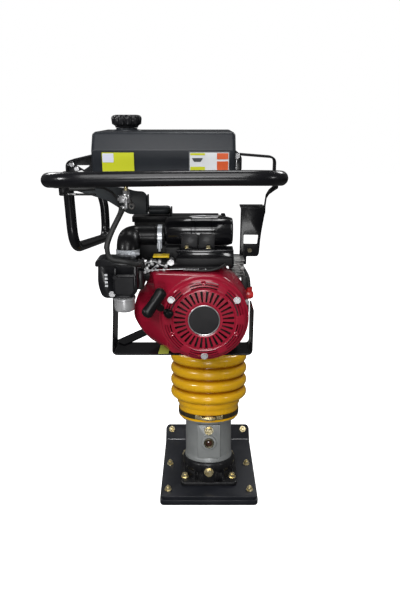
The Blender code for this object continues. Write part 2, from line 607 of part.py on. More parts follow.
def build_left_bracket():
    low = rail(-0.138) - HANDLE_RADIUS - 0.001
    outline = [(-0.318, low), (-0.262, low), (-0.205, 0.912), (-0.180, 0.9040), (-0.160, 0.9030),
               (-0.152, 0.896), (-0.1515, 0.849), (-0.196, 0.849), (-0.248, 0.8826), (-0.318, low - 0.012)]
    plate = prism("bracket_left", outline, -0.142, -0.138, "black", "XZ")
    join(plate, box("join_mount_flange", (-0.1555, -0.142, 0.849), (-0.1515, -0.085, 0.890), "black"))
    rod("shock_mount", 0.011, (-0.1512, -0.110, 0.8545), (-0.0988, -0.110, 0.8545), "rubber", None, 16, 0.002)
    shelf = box("head_bracket", (-0.190, -0.135, 0.8385), (0.020, -0.085, 0.8425), "black")
    join(shelf, box("join_upright", (-0.0985, -0.135, 0.8400), (-0.0945, -0.085, 0.868), "black"))


def build_guard():
    y = -0.241
    guard = strap("engine_guard", [(-0.226, y, 0.692), (-0.226, y, 0.543), (0.0952, y, 0.543),
                  (0.0952, y, 0.652)], 0.072, 0.004, "black", 0.012, 3)
    stay = strap("join_stay", [(-0.2225, -0.2150, 0.5445), (-0.160, -0.140, 0.5490),
                 (-0.060, -0.100, 0.5535)], 0.036, 0.004, "black", 0.02, 3)
    join(guard, stay)


def build_throttle():
    x, y = THROTTLE_AT
    top = rail(y) - HANDLE_RADIUS - 0.0010
    bottom = top - 0.014
    rod("throttle_perch", 0.009, (x, y, top), (x, y, bottom), "black", None, 16)
    lever = lathe("throttle_lever", [(0.0, 0.0), (0.009, 0.0), (0.009, 0.004), (0.0, 0.004)], "black",
                  (x, y, bottom - GAP), aim((0, 0, -1)), None, 14)
    join(lever, box("join_throttle_arm", (x, y - 0.004, bottom - 0.004), (x + 0.065, y + 0.004,
                    bottom - 0.0007), "black"))
    pipe("throttle_cable", [(x + 0.008, y + 0.0120, top - 0.006), (-0.270, -0.325, 0.936),
         (-0.212, -0.310, 0.928), (-0.1955, -0.292, 0.868), (-0.217, -0.318, 0.838),
         (-0.233, -0.328, 0.812), (-0.229, -0.270, 0.790), (-0.229, -0.264, 0.745),
             (-0.2172, -0.262, 0.742)], 0.0025, "rubber", 0.03, 4, 6)


build_shoe()
build_foot()
build_sleeve()
build_case()
build_engine()
build_induction()
build_tank()
build_handle()
build_guard()
build_throttle()
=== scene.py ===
import json
import math

import bmesh
import bpy
from mathutils import Matrix, Vector


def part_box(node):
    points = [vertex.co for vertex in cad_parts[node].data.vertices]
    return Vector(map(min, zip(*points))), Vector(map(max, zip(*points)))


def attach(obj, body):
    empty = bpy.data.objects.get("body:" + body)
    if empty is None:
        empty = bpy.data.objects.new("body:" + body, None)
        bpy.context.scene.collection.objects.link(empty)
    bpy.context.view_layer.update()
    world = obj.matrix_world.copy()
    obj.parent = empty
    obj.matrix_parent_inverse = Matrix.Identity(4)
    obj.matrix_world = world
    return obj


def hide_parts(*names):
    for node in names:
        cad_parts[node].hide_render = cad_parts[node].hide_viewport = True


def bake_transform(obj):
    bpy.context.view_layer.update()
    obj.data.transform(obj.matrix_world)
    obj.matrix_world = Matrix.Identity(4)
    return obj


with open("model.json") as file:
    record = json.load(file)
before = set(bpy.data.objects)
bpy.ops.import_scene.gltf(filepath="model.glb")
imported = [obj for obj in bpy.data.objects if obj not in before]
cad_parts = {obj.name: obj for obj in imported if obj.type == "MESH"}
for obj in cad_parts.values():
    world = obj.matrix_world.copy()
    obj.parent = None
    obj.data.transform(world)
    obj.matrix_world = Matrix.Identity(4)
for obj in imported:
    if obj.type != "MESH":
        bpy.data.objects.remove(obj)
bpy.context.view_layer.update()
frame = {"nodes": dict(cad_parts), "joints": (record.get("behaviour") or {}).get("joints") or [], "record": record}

NODES = frame["nodes"]
JOINTS = {joint["name"]: joint for joint in frame["joints"]}
SLOT_OF = {row["node"]: row["material_slot"] for row in frame["record"]["subparts"]}
FRONT = (0, -1, 0)
BACK = (0, 1, 0)
UP = (0, 0, 1)
DOWN = (0, 0, -1)
LEFT = (-1, 0, 0)
RIGHT = (1, 0, 0)
WHITE = (1.0, 1.0, 1.0, 1.0)
# One millimetre in metres: shapes are written in millimetres; materials, lamps and camera in metres.
MM = 0.001
# Points of one shape that lie closer than this, in millimetres, are the same point.
SAME_POINT = 0.001
# How far wear reaches from an edge, in metres.
WEAR_WIDTH = 0.0012


# ---------------------------------------------------------------- materials

def add_node(tree, kind, values=None, links=None, **settings):
    """Adds a shader node with its settings, its input values and its input links."""
    node = tree.nodes.new("ShaderNode" + kind)
    for key, value in settings.items():
        setattr(node, key, value)
    for key, value in (values or {}).items():
        node.inputs[key].default_value = value
    for key, socket in (links or {}).items():
        tree.links.new(socket, node.inputs[key])
    return node


def span(tree, socket, low, high):
    """Maps low..high of a socket to 0..1."""
    return add_node(tree, "MapRange", {"From Min": low, "From Max": high},
            {"Value": socket}).outputs["Result"]


def blend_colours(tree, factor, values, links=None):
    links = {"Factor": factor, **(links or {})}
    return add_node(tree, "Mix", values, links, data_type="RGBA").outputs["Result"]


def shade(name, colour, rough, metal, second, patch, grain, bump, depth=0.0002, coat=0.0, swing=0.12,
        wear=None):
    """A procedural surface: blotched colour, grain in bump and roughness, clear coat and worn edges."""
    made = bpy.data.materials.new(name)
    made.use_nodes = True
    tree = made.node_tree
    shader = tree.nodes["Principled BSDF"]
    where = {"Vector": add_node(tree, "TexCoord").outputs["Object"]}
    blotch = add_node(tree, "TexNoise", {"Scale": patch, "Detail": 5.0}, where).outputs["Fac"]
    fine = add_node(tree, "TexNoise", {"Scale": grain, "Detail": 3.0}, where).outputs["Fac"]
    shown = blend_colours(tree, span(tree, blotch, 0.38, 0.66), {"A": (*colour, 1.0), "B": (*second, 1.0)})
    limits = {"To Min": max(0.03, rough - swing / 2.0), "To Max": min(1.0, rough + swing / 2.0)}
    roughness = add_node(tree, "MapRange", limits, {"Value": blotch})
    relief = add_node(tree, "Bump", {"Strength": bump, "Distance": depth}, {"Height": fine})
    if wear is not None:
        shown = worn_edges(tree, shown, blotch, wear)
    tree.links.new(roughness.outputs["Result"], shader.inputs["Roughness"])
    tree.links.new(relief.outputs["Normal"], shader.inputs["Normal"])
    tree.links.new(shown, shader.inputs["Base Color"])
    for key, value in (("Metallic", metal), ("Coat Weight", coat), ("Coat Roughness", 0.06)):
        shader.inputs[key].default_value = value
    return made


def worn_edges(tree, colour, blotch, wear):
    """Mixes a worn colour in where a rounded normal leaves the true one, broken up by noise."""
    soft = add_node(tree, "Bevel", {"Radius": WEAR_WIDTH}, samples=4).outputs["Normal"]
    true = add_node(tree, "NewGeometry").outputs["Normal"]
    dot = add_node(tree, "VectorMath", links={0: soft, 1: true}, operation="DOT_PRODUCT").outputs["Value"]
    parts = {0: span(tree, dot, 0.97, 0.80), 1: span(tree, blotch, 0.42, 0.6)}
    both = add_node(tree, "Math", links=parts, operation="MULTIPLY").outputs["Value"]
    return blend_colours(tree, both, {"B": (*wear, 1.0)}, {"A": colour})


def paint_fold_shade(look, fold_shade_colour, distance):
    """Paints shade: mixes a darker colour in where ambient occlusion finds the surface folding inward."""
    tree = look.node_tree
    shown = look.node_tree.nodes["Principled BSDF"].inputs["Base Color"]
    base = shown.links[0].from_socket
    open_part = add_node(tree, "AmbientOcclusion", {"Distance": distance}, samples=8).outputs["AO"]
    mixed = blend_colours(tree, span(tree, open_part, 0.35, 0.95), {"A": (*fold_shade_colour, 1.0)}, {"B": base})
    tree.links.new(mixed, shown)


# Each row: colour, roughness, metal, second colour, blotch scale, grain scale, bump, bump depth in metres,
# coat, swing of the roughness, colour of worn edges.
LOOKS = {
    "gloss_black": ((0.004, 0.004, 0.005), 0.25, 0, (0.006, 0.006, 0.007), 30, 300, 0.01, 0.0001, 0.08, 0.02),
    "enamel_black": ((0.003, 0.003, 0.004), 0.18, 0, (0.005, 0.005, 0.006), 30, 500, 0.02, 0.0002, 0.4, 0.05),
    "satin_black": ((0.007, 0.007, 0.008), 0.38, 0, (0.012, 0.012, 0.013), 35, 700, 0.12, 0.0003, 0.04, 0.12,
                    (0.08, 0.08, 0.08)),
    "shoe_black": ((0.008, 0.009, 0.012), 0.34, 0, (0.013, 0.014, 0.018), 14, 600, 0.05, 0.0002, 0.08, 0.1,
                   (0.13, 0.13, 0.13)),
    "cast_black": ((0.005, 0.005, 0.006), 0.38, 0.1, (0.011, 0.011, 0.012), 60, 420, 0.35, 0.0005, 0.1, 0.16,
                   (0.08, 0.08, 0.08)),
    "dark_steel": ((0.014, 0.014, 0.015), 0.33, 0.5, (0.03, 0.028, 0.026), 25, 600, 0.2, 0.0003, 0.1, 0.2,
                   (0.18, 0.17, 0.16)),
    # Near-black matte look for blocks in dark regions: partly parts, partly painted shade.
    "deep_black_and_shade": ((0.004, 0.004, 0.0045), 0.5, 0, (0.007, 0.007, 0.0075), 30, 700, 0.12, 0.0003),
    "plate_grey": ((0.022, 0.026, 0.029), 0.42, 0, (0.03, 0.034, 0.037), 30, 700, 0.1),
    "band_bronze": ((0.05, 0.042, 0.024), 0.32, 0.6, (0.085, 0.074, 0.042), 40, 600, 0.1),
    "yellow_zinc": ((0.52, 0.42, 0.19), 0.28, 0.75, (0.66, 0.6, 0.42), 120, 900, 0.1),
    "bright_steel": ((0.62, 0.62, 0.63), 0.26, 0.7, (0.5, 0.5, 0.51), 60, 900, 0.1),
    "satin_steel": ((0.42, 0.42, 0.42), 0.32, 0.75, (0.32, 0.32, 0.33), 60, 900, 0.12),
    "oiled_steel": ((0.24, 0.24, 0.25), 0.32, 0.8, (0.16, 0.16, 0.16), 70, 800, 0.15),
    "clamp_steel": ((0.5, 0.52, 0.55), 0.28, 0.35, (0.42, 0.44, 0.47), 60, 900, 0.08),
    "cast_alloy": ((0.3, 0.3, 0.295), 0.4, 0.45, (0.22, 0.22, 0.215), 55, 480, 0.5, 0.0005, 0, 0.16),
    "leg_alloy": ((0.24, 0.25, 0.248), 0.38, 0.25, (0.21, 0.22, 0.218), 30, 480, 0.2, 0.0003),
    "deep_red": ((0.235, 0.007, 0.022), 0.17, 0, (0.21, 0.007, 0.02), 20, 600, 0.03, 0.0002, 0.25, 0.05),
    "cap_red": ((0.42, 0.012, 0.012), 0.3, 0, (0.36, 0.01, 0.01), 40, 600, 0.08, 0.0002, 0.3),
    "amber_bellows": ((0.8, 0.44, 0.006), 0.28, 0, (0.76, 0.41, 0.006), 18, 500, 0.04, 0.0002, 0.15, 0.1),
    "black_rubber": ((0.012, 0.012, 0.012), 0.5, 0, (0.02, 0.02, 0.02), 60, 900, 0.3, 0.0003),
    "moulded_rubber": ((0.004, 0.004, 0.0045), 0.34, 0, (0.006, 0.006, 0.0065), 30, 700, 0.06, 0.0002, 0.06),
    "black_plastic": ((0.005, 0.005, 0.006), 0.3, 0, (0.008, 0.008, 0.009), 50, 1200, 0.15, 0.0002, 0.1),
    "tank_plastic": ((0.009, 0.0105, 0.0135), 0.42, 0, (0.012, 0.014, 0.017), 12, 1400, 0.25, 0.0003),
    "sight_glass": ((0.03, 0.01, 0.005), 0.12, 0, (0.05, 0.016, 0.008), 90, 400, 0.05, 0.0002, 0.9),
    "disc_dark": ((0.006, 0.006, 0.007), 0.3, 0, (0.01, 0.009, 0.01), 30, 900, 0.05, 0.0001, 0.3),
    "label_dark": ((0.03, 0.032, 0.036), 0.35, 0, (0.036, 0.038, 0.042), 30, 900, 0.05, 0.0001),
    "pale_floor": ((0.8, 0.8, 0.8), 0.8, 0, (0.78, 0.78, 0.78), 3, 200, 0.02),
}
PATCH_COLOURS = {
    "label_lime": ((0.36, 0.38, 0.014), (0.34, 0.36, 0.014)),
    "label_gold": ((0.5, 0.35, 0.015), (0.46, 0.32, 0.015)),
    "label_white": ((0.46, 0.47, 0.48), (0.42, 0.43, 0.44)),
    "label_pale": ((0.44, 0.45, 0.52), (0.4, 0.41, 0.5)),
    "label_orange": ((0.4, 0.065, 0.018), (0.44, 0.085, 0.032)),
    "olive_patch": ((0.3, 0.33, 0.05), (0.27, 0.3, 0.05)),
}
SHEEN = {
    0.22: ("gloss_black", "tank_plastic", "satin_black", "cast_black", "deep_black_and_shade", "disc_dark",
            "plate_grey",
           "black_rubber"),
    0.28: ("deep_red", "enamel_black", "shoe_black"),
    0.15: ("moulded_rubber", "black_plastic", *PATCH_COLOURS),
}
LOOK = {name: shade(name, *row) for name, row in LOOKS.items()}
for name, (colour, second) in PATCH_COLOURS.items():
    LOOK[name] = shade(name, colour, 0.4, 0, second, 30, 900, 0.05, 0.0001)
for level, names in SHEEN.items():
    for name in names:
        LOOK[name].node_tree.nodes["Principled BSDF"].inputs["Specular IOR Level"].default_value = level
# Painted shade: darker orange in the bellows' folds, found by ambient occlusion.
paint_fold_shade(LOOK["amber_bellows"], (0.34, 0.115, 0.001), 0.03)

SLOT_LOOK = {
    "black_parts": "gloss_black", "black_casting": "cast_black", "dark_steel": "dark_steel",
    "zinc_bolts": "yellow_zinc", "cast_alloy": "cast_alloy", "bright_steel": "bright_steel",
    "dark_bright_steel": "oiled_steel", "sight_glass": "sight_glass", "amber_bellows": "amber_bellows",
    "red_paint": "deep_red", "black_rubber": "black_rubber", "black_plastic": "black_plastic",
    "tank_plastic": "tank_plastic",
}
SHOE_BOLTS = ("shoe_bolt_rear_left", "shoe_bolt_mid_left", "shoe_bolt_rear_right", "shoe_bolt_mid_right")


def dress_frame():
    """Gives every carried-over CAD node the procedural material of its slot."""
    for name, node in NODES.items():
        node.data.materials.clear()
        node.data.materials.append(LOOK[SLOT_LOOK[SLOT_OF[name]]])


# ---------------------------------------------------------------- mesh tools
# Lengths are in millimetres. Every tool below adds its shape to BENCH, and place() turns what lies on the
# bench into one piece in metres.

BENCH = bmesh.new()


def place(name, look, replaces=(), body="machine", smooth=35):
    """Turns the bench, in row coordinates, into a piece riding on a body, and clears the bench."""
    bmesh.ops.remove_doubles(BENCH, verts=BENCH.verts[:], dist=SAME_POINT)
    bmesh.ops.recalc_face_normals(BENCH, faces=BENCH.faces[:])
    for face in BENCH.faces:
        face.smooth = True
    for edge in BENCH.edges:
        if len(edge.link_faces) == 2:
            edge.smooth = edge.calc_face_angle(0.0) < math.radians(smooth)
    mesh = take_mesh(name)
    mesh.materials.append(LOOK[look])
    made = add_object(name, mesh)
    if body is not None:
        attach(made, body)
    if replaces:
        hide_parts(*([replaces] if isinstance(replaces, str) else replaces))
    return made


def take_mesh(name):
    mesh = bpy.data.meshes.new(name)
    bmesh.ops.scale(BENCH, vec=(MM, MM, MM), verts=BENCH.verts[:])
    BENCH.to_mesh(mesh)
    BENCH.clear()
    return mesh


def add_object(name, data):
    made = bpy.data.objects.new(name, data)
    bpy.context.scene.collection.objects.link(made)
    return made


def cut_away(target, overlapping=False):
    """Cuts the volume on the bench out of a piece and keeps the result as its mesh."""
    bmesh.ops.recalc_face_normals(BENCH, faces=BENCH.faces[:])
    cutter = add_object("cutter", take_mesh("cutter"))
    step = target.modifiers.new("cut", "BOOLEAN")
    step.operation = "DIFFERENCE"
    step.solver = "EXACT"
    step.use_self = overlapping
    step.object = cutter
    bpy.context.view_layer.update()
    graph = bpy.context.evaluated_depsgraph_get()
    result = bpy.data.meshes.new_from_object(target.evaluated_get(graph))
    target.modifiers.clear()
    old = target.data
    target.data = result
    bpy.data.meshes.remove(old)
    bpy.data.objects.remove(cutter)


def basis(axis):
    """A rotation whose Z runs along axis."""
    return Vector(axis).normalized().to_track_quat("Z", "Y").to_matrix().to_4x4()


def at(origin, axis=UP):
    return Matrix.Translation(Vector(origin)) @ basis(axis)


def polar(radius, angle):
    return radius * math.cos(angle), radius * math.sin(angle)


def take(part, where=None):
    """Moves a bmesh to a place and copies it onto the bench."""
    if where is not None:
        bmesh.ops.transform(part, matrix=where, verts=part.verts[:])
    bmesh.ops.recalc_face_normals(part, faces=part.faces[:])
    copy = {v: BENCH.verts.new(v.co) for v in part.verts}
    for face in part.faces:
        BENCH.faces.new([copy[v] for v in face.verts])
    part.free()


def lathe(profile, where, steps=48, closed=False):
    """Adds a turned body of (radius, height) points, about Z of the given place."""
    part = bmesh.new()
    verts = [part.verts.new((r, 0.0, h)) for r, h in profile]
    edges = [part.edges.new(p) for p in zip(verts, verts[1:])]
    if closed:
        edges.append(part.edges.new((verts[-1], verts[0])))
    bmesh.ops.spin(part, geom=verts + edges, axis=UP, cent=(0, 0, 0), steps=steps, angle=math.tau,
            use_merge=True)
    bmesh.ops.remove_doubles(part, verts=part.verts[:], dist=SAME_POINT)
    take(part, where)


def rod(start, end, radius, chamfer=0.8, steps=32):
    a, b = Vector(start), Vector(end)
    n = (b - a).length
    c = min(chamfer, radius * 0.4, n * 0.4)
    points = [(0, 0), (radius - c, 0), (radius - c * 0.3, c * 0.3), (radius, c), (radius, n - c),
              (radius - c * 0.3, n - c * 0.3), (radius - c, n), (0, n)]
    lathe(points, at(a, b - a), steps)


def ring(start, end, inner, outer, chamfer=0.6, steps=48):
    a, b = Vector(start), Vector(end)
    n = (b - a).length
    c = chamfer
    lathe([(inner, 0), (outer - c, 0), (outer, c), (outer, n - c), (outer - c, n), (inner, n)], at(a, b - a),
          steps, True)


def box(low, high, bevel=1, segments=3, where=None):
    part = bmesh.new()
    bmesh.ops.create_cube(part, size=1.0)
    size = [q - p for p, q in zip(low, high)]
    bmesh.ops.scale(part, vec=size, verts=part.verts[:])
    bmesh.ops.translate(part, vec=[(p + q) / 2.0 for p, q in zip(low, high)], verts=part.verts[:])
    if bevel:
        bmesh.ops.bevel(part, geom=part.edges[:], offset=min(bevel, min(size) * 0.45), segments=segments,
                        profile=0.5, affect="EDGES")
    take(part, where)


def extrude(part, faces, move):
    """Thickens flat faces along a vector and keeps both sides."""
    made = bmesh.ops.extrude_face_region(part, geom=faces, use_keep_orig=True)
    moved = [v for v in made["geom"] if isinstance(v, bmesh.types.BMVert)]
    bmesh.ops.translate(part, vec=move, verts=moved)


def slab(corners, move):
    part = bmesh.new()
    extrude(part, [part.faces.new([part.verts.new(c) for c in corners])], move)
    bmesh.ops.recalc_face_normals(part, faces=part.faces[:])
    return part


def soften(part, edges, offset, segments, clamp=False):
    bmesh.ops.bevel(part, geom=edges, offset=offset, segments=segments, profile=0.5, affect="EDGES",
                    clamp_overlap=clamp)


def sharp_edges(part, degrees):
    return [e for e in part.edges if e.calc_face_angle(0.0) > math.radians(degrees)]


def prism(outline, low, high, bevel=1, segments=2, where=None, plane="XZ", angle=50):
    """Adds a flat outline, given in a plane, thickened from low to high across it."""
    spot = {
        "XZ": lambda p, t: (p[0], t, p[1]),
        "YZ": lambda p, t: (t, p[0], p[1]),
        "XY": lambda p, t: (p[0], p[1], t),
    }[plane]
    part = slab([spot(p, low) for p in outline], spot((0.0, 0.0), high - low))
    if bevel:
        soften(part, sharp_edges(part, angle), bevel, segments, True)
    take(part, where)


def corners(x0, y0, x1, y1):
    return [(x0, y0), (x1, y0), (x1, y1), (x0, y1)]


def arc(before, corner, after, radius, limit, steps):
    """The points that round one corner, or the corner alone where there is no room."""
    a, b = before - corner, after - corner
    reach = min(radius, a.length * limit, b.length * limit)
    if reach < SAME_POINT:
        return [corner]
    s = corner + a.normalized() * reach
    e = corner + b.normalized() * reach
    shares = [k / steps for k in range(steps + 1)]
    return [s * (1 - t) ** 2 + corner * 2 * t * (1 - t) + e * t ** 2 for t in shares]


def rounded(points, radius, steps=6):
    """Rounds the corners of a flat outline with arcs."""
    out = []
    n = len(points)
    for i in range(n):
        r = radius[i] if isinstance(radius, (list, tuple)) else radius
        around = [Vector(points[k]) for k in (i - 1, i, (i + 1) % n)]
        out += [tuple(p) for p in arc(*around, r, 0.48, steps)]
    return out


def fillet(points, radius, steps=8, cyclic=False):
    """Rounds the corners of a path through space with arcs."""
    pts = [Vector(p) for p in points]
    n = len(pts)
    path = []
    for i, p in enumerate(pts):
        if not cyclic and i in (0, n - 1):
            path.append(p)
        else:
            path += arc(pts[i - 1], p, pts[(i + 1) % n], radius, 0.49, steps)
    return path


def skin(loops, cyclic=False):
    """Skins loops of equal length, and caps both ends unless the last loop joins the first."""
    pairs = list(zip(loops, loops[1:]))
    if cyclic:
        pairs.append((loops[-1], loops[0]))
    n = len(loops[0])
    for first, second in pairs:
        for k in range(n):
            BENCH.faces.new((first[k], first[(k + 1) % n], second[(k + 1) % n], second[k]))
    if not cyclic:
        BENCH.faces.new(loops[0])
        BENCH.faces.new(list(reversed(loops[-1])))


def sweep(path, section, cyclic=False, scales=None):
    """Carries a closed (side, up) section along a path."""
    n = len(path)
    if cyclic:
        tangents = [(path[(i + 1) % n] - path[i - 1]).normalized() for i in range(n)]
    else:
        tangents = [(path[min(i + 1, n - 1)] - path[max(i - 1, 0)]).normalized() for i in range(n)]
    side = Vector((0.0, 1.0, 0.0))
    if abs(tangents[0].z) < 0.9:
        side = tangents[0].cross(Vector(UP)).normalized()
    loops = []
    for i, (p, t) in enumerate(zip(path, tangents)):
        side = (side - t * side.dot(t)).normalized()
        up = t.cross(side)
        k = scales[i] if scales else 1.0
        loops.append([BENCH.verts.new(p + side * a * k + up * b * k) for a, b in section])
    skin(loops, cyclic)


def circle(radius, count=20):
    return [polar(radius, math.tau * i / count) for i in range(count)]


def pipe(points, radius, bend=30, steps=8, count=20, cyclic=False):
    sweep(fillet(points, bend, steps, cyclic), circle(radius, count), cyclic)


def strap(points, width, thickness, bend=15, steps=6):
    w = width / 2.0
    t = thickness / 2.0
    c = t * 0.4
    section = [(-w + c, -t), (w - c, -t), (w, -t + c), (w, t - c), (w - c, t), (-w + c, t), (-w, t - c),
               (-w, -t + c)]
    sweep(fillet(points, bend, steps), section)


def bolt(seat, axis, across, head=None, washer=True, turn=0.3):
    """A hexagon head with a chamfered crown on a flat washer."""
    head = head or across * 0.6
    r = across / math.sqrt(3.0)
    where = at(seat, axis) @ Matrix.Rotation(turn, 4, "Z")
    base = 0.0
    if washer:
        base = across * 0.09
        lathe([(0, 0), (r * 1.22, 0), (r * 1.25, base * 0.4), (r * 1.22, base), (0, base)], where, 28)
    part = bmesh.new()
    count = 24
    loops = []
    for h, k, roundness in ((base, 1.0, 0.0), (base + head * 0.8, 1.0, 0.0), (base + head, 0.90, 1.0)):
        loop = []
        for i in range(count):
            a = math.tau * i / count
            flat = r * math.cos(math.pi / 6) / math.cos((a % (math.pi / 3)) - math.pi / 6)
            radius = flat * k * (1 - roundness) + r * 0.86 * roundness
            loop.append(part.verts.new((*polar(radius, a), h)))
        loops.append(loop)
    for first, second in zip(loops, loops[1:]):
        for i in range(count):
            part.faces.new((first[i], first[(i + 1) % count], second[(i + 1) % count], second[i]))
    part.faces.new(list(reversed(loops[0])))
    part.faces.new(loops[-1])
    take(part, where)


def box_of(node):
    """The low and high corners of a CAD node, in millimetres."""
    return [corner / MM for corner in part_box(node)]


def mid(node):
    low, high = box_of(node)
    return (low + high) / 2.0


def off(base, x, y, z):
    """A point moved by x, y and z."""
    return base + Vector((x, y, z))


def pivot(joint):
    return Vector(JOINTS[joint]["pos_m"]) / MM


def stretch(piece):
    """Bakes a piece's placement into its mesh; the piece rides on no body and does not stretch."""
    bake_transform(piece)


# ---------------------------------------------------------------- the leaning leg's own frame

LEAN = math.atan2(*frame["joints"][0]["axis"][1:])
LEG_ORIGIN = Vector((0, 0, 60))
LEG = Matrix.Translation(LEG_ORIGIN) @ Matrix.Rotation(-LEAN, 4, "X")


def on_leg(x, y, z):
    return LEG @ Vector((x, y, z))


LEG_FRONT = LEG.to_3x3() @ Vector(FRONT)


# ---------------------------------------------------------------- shoe and foot

def shoe_body(profile, half, corner, edge):
    """An extruded side profile whose plan corners and rims are rounded."""
    part = slab([(-half, y, z) for y, z in profile], (2 * half, 0, 0))
    back = profile[0][0] + 1
    front = max(y for y, z in profile) - 14.5
    ends = []
    for e in part.edges:
        a, b = (v.co for v in e.verts)
        rear = max(a.y, b.y) < back
        toe = min(a.y, b.y) > front and abs(a.z - b.z) > 4
        if abs(a.x - b.x) < SAME_POINT and (rear or toe):
            ends.append(e)
    soften(part, ends, corner, 5)
    rims = [e for e in part.edges if len(e.link_faces) == 2 and e.calc_face_angle(0) > math.radians(38)]
    soften(part, rims, edge, 2)
    take(part)


def build_shoe():
    liner_low, liner_high = box_of("shoe_liner")
    plate_low, plate_high = box_of("shoe_plate")
    half = liner_high.x
    back = liner_low.y
    toe = liner_high.y
    top = plate_low.z - 0.3
    shoe_body([(back, 0), (toe - 43, 0), (toe, 46), (toe - 10, 57), (toe - 49, top), (back, top)], half, 12,
            2.2)
    place("shoe_wear_sole", "shoe_black", "shoe_liner", body="foot")
    shoe_body([(plate_low.y, top + 0.3), (toe - 49.5, top + 0.3), (toe - 10.5, 57.7),
            (plate_high.y - 8, plate_high.z), (toe - 54, 28), (plate_low.y, 28)], half - 3, 11, 1.2)
    place("shoe_steel_plate", "shoe_black", "shoe_plate", body="foot")
    # A weld bead along the fold, in lighter oiled steel so that it also paints the fold's highlight line.
    weld_and_highlight = [Vector((-136 + 272 * i / 90, toe - 54.5, 28.3 + 0.4 * math.sin(i * 1.7))) for i in range(91)]
    sweep(weld_and_highlight, circle(1.2, 8))
    place("shoe_fold_weld_and_highlight", "oiled_steel", body="foot")
    for name in SHOE_BOLTS:
        c = mid(name)
        bolt((c.x, c.y, 28.2), UP, 14, 8, True, c.y * 0.009)
        rod((c.x, c.y, 34), (c.x, c.y, 42.5), 3.6, 0.8, 16)
    slope = Vector((0, -0.7, 0.714))
    for x in (-121.5, 120):
        seat = Vector((x, toe - 30.5, 53.4))
        bolt(seat, slope, 14, 8)
        rod(seat + slope * 6, seat + slope * 13, 3.6, 0.8, 16)
    place("shoe_bolts", "yellow_zinc", SHOE_BOLTS, body="foot")


def build_foot():
    low, high = box_of("foot_casting")
    half = high.x
    front = low.y + 0.3
    square = rounded(corners(-half, front, half, half), 14)
    prism(square, low.z, 41, 4, 3, plane="XY")
    lathe([(0, 34), (76, 34), (75.5, 58), (70, 66), (0, 66)], at((0, 0, 0)), 56)
    cup = [(0, -8), (72, -8), (76.5, 0), (78.5, 6), (78.5, 18), (77, 22), (74, 25.2), (0, 25.2)]
    lathe(cup, LEG, 72)
    for i in range(16):
        a = math.tau * (i + 0.5) / 16
        r_out = min(70.5 / max(abs(math.cos(a)), abs(math.sin(a))), 92)
        blade = [(60, 38), (r_out, 38), (r_out - 5, 46), (78.5, 76), (60, 80)]
        prism(blade, -2.4, 2.4, 1.2, 2, Matrix.Rotation(a, 4, "Z"))
    for i in range(5):
        for side in (-1, 1):
            x = side * (21 + 5.2 * i)
            blade = [(x - 1.2, 40), (x + 1.2, 40), (x + 1.2 - side * 4, 76 - 3 * i),
                    (x - 1.2 - side * 4, 76 - 3 * i)]
            prism(blade, -76.5 + 1.2 * i, -55, 0.8)
    z0 = mid("drain_bolt").z
    face = box_of("foot_casting")[0].y
    pad = [(-17.5, 40), (17.5, 40), (17.5, z0 + 2), (11, z0 + 14), (-11, z0 + 14), (-17.5, z0 + 2)]
    prism(pad, face, -50, 3, 3)
    place("foot_ribbed_casting", "cast_black", "foot_casting", body="foot", smooth=30)
    bolt((0, face - 0.4, z0), FRONT, 19.5, 9, True, 0.1)
    place("drain_bolt_head", "yellow_zinc", "drain_bolt", body="foot")
    for x in (-71.2, 70.5):
        for y in (-50, 68):
            bolt((x, y, 41.2), UP, 15.5, 9, True, x * 0.011 + y * 0.005)
            rod((x, y, 48), (x, y, 54.5), 4.2, 0.8, 16)
    place("casting_bolts", "yellow_zinc", body="foot")


def build_leg():
    tube = [(57, 25.8), (70.5, 25.8), (71.5, 26.8), (71.5, 34.5), (70.5, 36.5), (69.5, 39.5), (69, 44),
            (69, 140), (69.5, 144), (72, 146.5), (84, 150), (84.5, 152), (84.5, 176), (57, 178)]
    lathe(tube, LEG, 96, True)
    panel = rounded(corners(-31.5, 40.5, 31.5, 142), 4)
    prism(panel, -71.5, -56, 2.2, 3, LEG)
    hub = (LEG.inverted() @ mid("sight_glass")).z
    plug = (LEG.inverted() @ mid("oil_plug")).z
    lathe([(0, 0), (22.5, 0), (22, 4.5), (20.5, 6.2), (0, 6.2)], at(on_leg(0, -70.5, hub), LEG_FRONT), 64)
    lathe([(0, 0), (13.5, 0), (13, 4.5), (12.2, 5.8), (0, 5.8)], at(on_leg(0, -70.5, plug), LEG_FRONT), 48)
    for x in (-31.5, 31.5):
        rib = corners(x - 2, 41, x + 2, 142)
        prism(rib, -71.2, -50, 1.5, 2, LEG)
    place("leg_cast_cylinder", "leg_alloy", "leg_cylinder", body="foot", smooth=30)
    bolt(on_leg(0, -76.6, plug), LEG_FRONT, 18, 8, True, 0.05)
    place("oil_plug_head", "yellow_zinc", "oil_plug", body="foot")
    spot = at(on_leg(0, -76.9, hub), LEG_FRONT)
    bezel = [(8.5, 0), (8.5, 2), (9.8, 4.8), (12.8, 5.2), (14.5, 4.2), (15, 0)]
    lathe(bezel, spot, 64, True)
    place("sight_glass_bezel", "band_bronze", body="foot")
    lathe([(0, 0.2), (8.4, 0.2), (8.4, 2), (6, 2.8), (0, 3.2)], spot, 40)
    place("sight_glass_window", "sight_glass", "sight_glass", body="foot")


# ---------------------------------------------------------------- bellows and clamps

def bellows_outline():
    """Radius against height of the bellows' outer face, rounded crests over narrow grooves."""
    wall = [(89.5, 156.5), (89.5, 188), (90.5, 192), (93.5, 196), (94.5, 203)]
    crest = 113.6
    root = 98.5
    first = 228.5
    pitch = 36
    for k in range(4):
        centre = first + pitch * k
        for i in range(17):
            t = -1.0 + 2.0 * i / 16
            low = 94.5 if k == 0 and t < 0 else root
            r = low + (crest - low) * (1.0 - abs(t) ** 2.3) ** 0.66
            wall.append((r, centre + t * pitch * 0.485))
    wall += [(93, 356), (88.5, 358.5), (86.8, 361.5), (86.8, 383)]
    return wall


